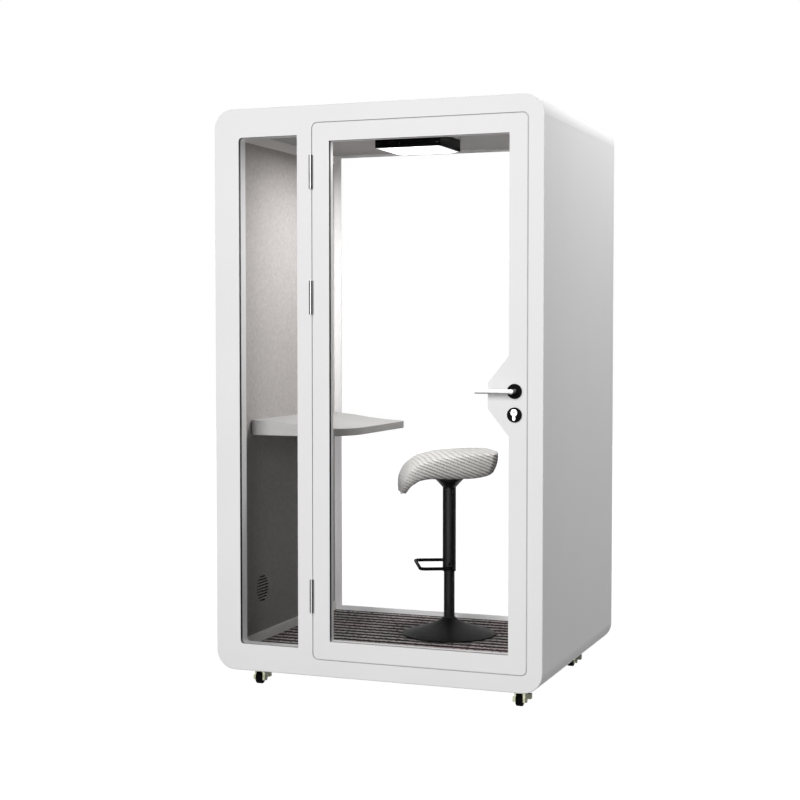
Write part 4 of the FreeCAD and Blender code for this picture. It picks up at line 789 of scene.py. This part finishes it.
class BOOTH_OT_seat(bpy.types.Operator):
    """Upholster the saddle seat: a crowned top that curls down in front and a side band that
    bulges, in one knitted cloth whose slanted ribs run over the ridge between them."""

    bl_idname = "booth.seat"
    bl_label = "Seat"

    length: length_property("Length", "From the rear to the front lip", 0.4024)
    ahead: length_property("Ahead", "How far the lip lies ahead of the column", 0.2085)
    width: length_property("Width", "Across the widest section", 0.390)
    thickness: length_property("Thickness", "Of the thickest section", 0.121)
    top: length_property("Top", "Height of the seat's top over the carpet", 0.7915)
    fall: length_property("Fall", "From the top to the lip's lowest section", 0.195)
    rear_bow: length_property("Rear bow", "How far the rear end's middle stands out", 0.008)
    rib_pitch: length_property("Rib pitch", "Distance between ribs along the seat", 0.034)
    rib_depth: length_property("Rib depth", "Depth of the ribs on the side band", 0.0016)
    rib_slant: ratio_property("Rib slant", "Run of a rib along the side for each unit of rise", 2.5)
    rib_sweep: ratio_property("Rib sweep", "Run of a rib on the top for each unit across", 0.164)
    heading: angle_property("Heading", "Which way the sitter faces", 205.2)
    rear_share: ratio_property("Rear share", "Share of the length in which the rear closes", 0.1087)
    front_share: ratio_property("Front share", "Share of the length in which the lip closes", 0.0421)

    def execute(self, context):
        piece = self.surface()
        finish_piece(piece, seat_cloth(), "seat_fabric", "stool_top", "stool_seat")
        return {"FINISHED"}

    def stations(self):
        """Shares of the length, closer together where the ends close: 1 - cos(a) of the rear's
        share, even steps, then the same at the front."""
        turn = np.linspace(0.02, np.pi / 2, 40, endpoint=False)
        even = np.linspace(self.rear_share, 1.0 - self.front_share, 190, endpoint=False)
        back = np.linspace(np.pi / 2, 0.05, 26)
        return np.concatenate(
            [self.rear_share * (1.0 - np.cos(turn)), even, 1.0 - self.front_share * (1.0 - np.cos(back))]
        )

    def surface(self):
        """The seat's points: sections of four arcs (crown, side, underside, side) set along
        smooth tables. With r the share of the rear's length passed, the width grows as
        sqrt(1 - (1 - r)^2); at the lip the thickness shrinks the same way."""
        low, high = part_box("stool_column")
        axis = Vector(((low.x + high.x) / 2, (low.y + high.y) / 2, 0.0))
        station = self.stations()
        x = self.ahead - self.length + self.length * station
        z = low.z + self.top - self.fall * smooth_table(station, SEAT_STATIONS, SEAT_DROP)
        tilt = np.radians(smooth_table(station, SEAT_STATIONS, SEAT_LEAN))
        rear = np.sqrt(1.0 - (1.0 - np.clip(station / self.rear_share, 0.0, 1.0)) ** 2)
        front = np.sqrt(1.0 - (1.0 - np.clip((1.0 - station) / self.front_share, 0.0, 1.0)) ** 2)
        half_t = self.thickness / 2 * smooth_table(station, SEAT_STATIONS, SEAT_THICKNESS) * front
        half_w = self.width / 2 * smooth_table(station, SEAT_STATIONS, SEAT_WIDTH) * rear
        half_w = half_w * (0.5 + 0.5 * front)
        ridge = smooth_table(station, SEAT_STATIONS, SEAT_RIDGE) * half_t
        foot, foot_w, bulge_w = -0.8635 * half_t, 0.777 * half_w, 1.03 * half_w
        waist = (ridge + foot) / 2
        tiny = 1e-7
        corners = (
            (-half_w + 1j * ridge, 0 + 1j * (half_t + tiny), half_w + 1j * ridge),
            (half_w + 1j * ridge, bulge_w + tiny + 1j * waist, foot_w + 1j * foot),
            (foot_w + 1j * foot, 0 + 1j * (-half_t - tiny), -foot_w + 1j * foot),
            (-foot_w + 1j * foot, -bulge_w - tiny + 1j * waist, -half_w + 1j * ridge),
        )
        counts = (84, 60, 54, 60)
        runs = [arc_through(*arc, np.linspace(0.0, 1.0, count, endpoint=False))
                for arc, count in zip(corners, counts)]
        band = np.repeat(np.arange(4), counts)
        section = self.eased(np.concatenate(runs, axis=1), band)
        across, up = section.real, section.imag
        dish = np.exp(-(((station - 0.12) / 0.09) ** 2))[:, None]
        dish = dish * np.clip(1.0 - (across / 0.15) ** 2, 0.0, 1.0)
        up = up - 0.005 * dish * (band == 0)
        middle = np.exp(-station / 0.05)[:, None] * np.clip(1.0 - (up / 0.045) ** 2, 0.0, 1.0)
        sine, cosine = np.sin(tilt)[:, None], np.cos(tilt)[:, None]
        points = np.stack(
            [x[:, None] - self.rear_bow * middle + up * sine, across, z[:, None] + up * cosine], axis=-1
        )
        ridge_z = (z + ridge * np.cos(tilt))[:, None]
        points, cloth, rib = self.knit(points, band, station, ridge_z)
        ends = [points[0].mean(axis=0), points[-1].mean(axis=0)]
        flat = np.vstack([points.reshape(-1, 3), ends])
        cos, sin = math.cos(self.heading), math.sin(self.heading)
        turned = np.stack(
            [flat[:, 0] * cos - flat[:, 1] * sin + axis.x, flat[:, 0] * sin + flat[:, 1] * cos + axis.y,
             flat[:, 2]], axis=-1
        )
        rows, columns = points.shape[:2]
        ring = np.arange(columns)
        following = (ring + 1) % columns
        base = (rows - 1) * columns
        pole = np.full(columns, rows * columns)
        quads = grid_quads(rows, columns, closed=True).tolist()
        quads += np.stack([following, ring, pole], axis=-1).tolist()
        quads += np.stack([base + ring, base + following, pole + 1], axis=-1).tolist()
        piece = add_piece("seat_cushion", turned, quads, smooth_angle=60.0)
        # The rib's height, kept for the cloth's painted shade and painted highlight.
        shown = np.append(rib.ravel(), [0.5, 0.5]).astype(np.float32)
        piece.data.attributes.new("rib", "FLOAT", "POINT").data.foreach_set("value", shown)
        poles = [cloth[0].mean(axis=0), cloth[-1].mean(axis=0)]
        self.lay_cloth(piece, np.vstack([cloth.reshape(-1, 2), poles]))
        return piece

    def eased(self, section, band):
        """Sections whose four corners are rounded: points near a corner move towards their
        neighbours' mean, in several passes."""
        weight = np.exp(-((self.edge_distance(band) / 3.0) ** 2))
        for _ in range(14):
            mean = (np.roll(section, 1, axis=1) + np.roll(section, -1, axis=1)) / 2
            section = section + weight * 0.7 * (mean - section)
        return section

    def knit(self, points, band, station, ridge_z):
        """Push the points in along the normal between the ribs, and return them with the
        cloth's coordinates and the rib's height. A rib is where
        (rearward + slant * height + sweep * across) / pitch is whole, with the height taken
        no higher than the ridge; the cloth also swells a little in slow waves."""
        along = np.gradient(points, axis=0)
        around = np.roll(points, -1, axis=1) - np.roll(points, 1, axis=1)
        normal = np.cross(around, along)
        normal = normal / np.maximum(np.linalg.norm(normal, axis=-1, keepdims=True), 1e-12)
        outward = points - points.mean(axis=1, keepdims=True)
        normal = normal * np.sign((normal * outward).sum(axis=-1).mean())
        rearward, across, height = -points[..., 0], points[..., 1], np.minimum(points[..., 2], ridge_z)
        steps = (rearward + self.rib_slant * height - self.rib_sweep * across) / self.rib_pitch
        thread = 0.89 * rearward - 0.45 * height - across
        wave = 0.5 + 0.5 * np.cos(2 * np.pi * steps)
        top = band == 0
        plain = np.clip((0.90 - station) / 0.12, 0.0, 1.0)[:, None]
        smooth_rear = 1.0 - 0.8 * np.exp(-(((station - 0.09) / 0.07) ** 2))[:, None]
        below = np.where(band == 2, 0.15, 1.0 - 0.35 * (1 - plain))
        strength = np.where(top, 0.45 * plain * smooth_rear, below)
        waves = np.sin(23.0 * points[..., 0] + 2.0 * np.sin(17.0 * across))
        swell = 0.0008 * waves * np.sin(19.0 * across + 1.3)
        move = swell - self.rib_depth * strength * (1.0 - wave)
        points = points + normal * move[..., None]
        cloth = np.stack([steps * 0.0126, thread], axis=-1)
        return points, cloth, 0.5 + (wave - 0.5) * strength

    def edge_distance(self, band):
        """How many columns each column lies from the nearest change of band."""
        index = np.arange(len(band))
        changes = np.flatnonzero(band != np.roll(band, 1))
        gap = np.abs(index[:, None] - changes[None, :])
        return np.minimum(gap, len(band) - gap).min(axis=1).astype(float)

    def lay_cloth(self, piece, cloth):
        """UV map in metres: across the ribs and along them."""
        loops = np.empty(len(piece.data.loops), int)
        piece.data.loops.foreach_get("vertex_index", loops)
        layer = piece.data.uv_layers.new(name="cloth")
        layer.data.foreach_set("uv", cloth[loops].ravel().astype(np.float32))


class BOOTH_OT_stage(bpy.types.Operator):
    """Set the floor, the white surroundings, the lamps and the camera."""

    bl_idname = "booth.stage"
    bl_label = "Stage"

    def execute(self, context):
        self.floor()
        self.sky()
        self.lamps()
        self.camera()
        context.scene.view_settings.view_transform = "Standard"
        return {"FINISHED"}

    def floor(self):
        """Pale floor, most of whose brightness to the camera, in mirrors and through glass, is
        its own white, while the rest takes the object's shadow."""
        side = 14.0
        corners = np.array([(-side, -side, 0), (side, -side, 0), (side, side, 0), (-side, side, 0)], float)
        floor = add_piece("floor", corners, [[0, 1, 2, 3]])
        finish = Finish("floor", (0.9, 0.9, 0.9), 0.9, Specular_IOR_Level=0.0)
        glow = finish.node("ShaderNodeEmission", Strength=1.08)
        mix = finish.node("ShaderNodeMixShader")
        seen = rays_that_show_white(finish.tree)
        finish.colour(finish.scaled(seen, 0.75, 0.15))
        finish.link(self.glow_share(finish, seen), mix.inputs["Fac"])
        finish.link(finish.shader.outputs["BSDF"], mix.inputs[1])
        finish.link(glow.outputs["Emission"], mix.inputs[2])
        output = finish.tree.nodes["Material Output"]
        finish.link(mix.outputs["Shader"], output.inputs["Surface"])
        floor.data.materials.append(finish.material)

    def glow_share(self, finish, seen):
        """Share of the floor's own white: 1 - 0.06 g, with g = 1 under the object and 0 from
        the reach outwards, for the rays that see it white."""
        away = finish.node("ShaderNodeVectorMath", operation="LENGTH")
        finish.link(finish.place(), away.inputs[0])
        near = finish.node("ShaderNodeMapRange", interpolation_type="SMOOTHSTEP")
        finish.link(away.outputs["Value"], near.inputs["Value"])
        for name, value in (("From Min", 0.6), ("From Max", 3.2), ("To Min", 0.94), ("To Max", 1.0)):
            near.inputs[name].default_value = value
        return finish.total(near.outputs["Result"], seen, "MULTIPLY")

    def sky(self):
        """Even light all round, which camera, mirror and glass rays see as white."""
        world = bpy.data.worlds.new("surroundings")
        bpy.context.scene.world = world
        world.use_nodes = True
        tree = world.node_tree
        tree.nodes.clear()
        output = tree.nodes.new("ShaderNodeOutputWorld")
        mix = tree.nodes.new("ShaderNodeMixShader")
        lit, seen = tree.nodes.new("ShaderNodeBackground"), tree.nodes.new("ShaderNodeBackground")
        lit.inputs["Strength"].default_value = stage_values().sky
        seen.inputs["Strength"].default_value = 1.0
        for node in (lit, seen):
            node.inputs["Color"].default_value = (1.0, 1.0, 1.0, 1.0)
        tree.links.new(rays_that_show_white(tree), mix.inputs["Fac"])
        tree.links.new(lit.outputs["Background"], mix.inputs[1])
        tree.links.new(seen.outputs["Background"], mix.inputs[2])
        tree.links.new(mix.outputs["Shader"], output.inputs["Surface"])

    def lamps(self):
        """A large soft light in front, one over the right side, a far one to fill that side and
        the ceiling light's own light under its diffuser."""
        values = stage_values()
        self.area("front_light", (-0.4, -9.5, 3.4), (0.0, 0.0, 1.0), 5.0, values.key)
        self.area("side_light", (2.2, 0.6, 4.2), (0.68, 0.2, 1.6), 1.2, values.side)
        self.area("right_fill", (8.0, 0.8, 2.0), (0.68, 0.3, 1.2), 3.0, values.fill)
        low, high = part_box("light_diffuser")
        middle = ((low.x + high.x) / 2, (low.y + high.y) / 2, low.z - 0.002)
        lamp = self.area("ceiling_light", middle, (middle[0], middle[1], 0.0), 0.25, values.lamp)
        lamp.visible_camera = False

    def area(self, name, place, target, size, power):
        """A square area light that points at a target."""
        light = bpy.data.lights.new(name, "AREA")
        light.energy = power
        light.size = size
        lamp = bpy.data.objects.new(name, light)
        lamp.location = place
        lamp.rotation_euler = (Vector(target) - Vector(place)).to_track_quat("-Z", "Y").to_euler()
        bpy.context.scene.collection.objects.link(lamp)
        return lamp

    def camera(self):
        """The photograph's view."""
        values = stage_values()
        data = bpy.data.cameras.new("view")
        data.lens = values.lens
        data.sensor_width = 36.0
        camera = bpy.data.objects.new("view", data)
        camera.location = values.eye
        camera.rotation_euler = (values.tilt, 0.0, values.turn)
        bpy.context.scene.collection.objects.link(camera)
        bpy.context.scene.camera = camera


STEPS = (
    BOOTH_OT_stage, BOOTH_OT_shell, BOOTH_OT_felt, BOOTH_OT_carpet, BOOTH_OT_glazing,
    BOOTH_OT_door_hardware, BOOTH_OT_desk, BOOTH_OT_services, BOOTH_OT_casters, BOOTH_OT_stool,
    BOOTH_OT_seat,
)


class BOOTH_PT_looks(bpy.types.Panel):
    """Values and steps of the booth's looks."""

    bl_idname = "BOOTH_PT_looks"
    bl_label = "Office booth"
    bl_space_type = "VIEW_3D"
    bl_region_type = "UI"
    bl_category = "Booth"

    def draw(self, context):
        for group in (context.scene.booth_colours, context.scene.booth_stage):
            for name in group.__annotations__:
                self.layout.prop(group, name)
        for step in STEPS:
            self.layout.operator(step.bl_idname)


CLASSES = (BoothColours, BoothStage) + STEPS + (BOOTH_PT_looks,)


def register():
    for cls in CLASSES:
        bpy.utils.register_class(cls)
    bpy.types.Scene.booth_colours = PointerProperty(type=BoothColours)
    bpy.types.Scene.booth_stage = PointerProperty(type=BoothStage)


def unregister():
    del bpy.types.Scene.booth_stage
    del bpy.types.Scene.booth_colours
    for cls in reversed(CLASSES):
        bpy.utils.unregister_class(cls)


def main():
    """Make the booth's looks."""
    register()
    for step in STEPS:
        family, name = step.bl_idname.split(".")
        getattr(getattr(bpy.ops, family), name)()


if __name__ == "__main__":
    main()
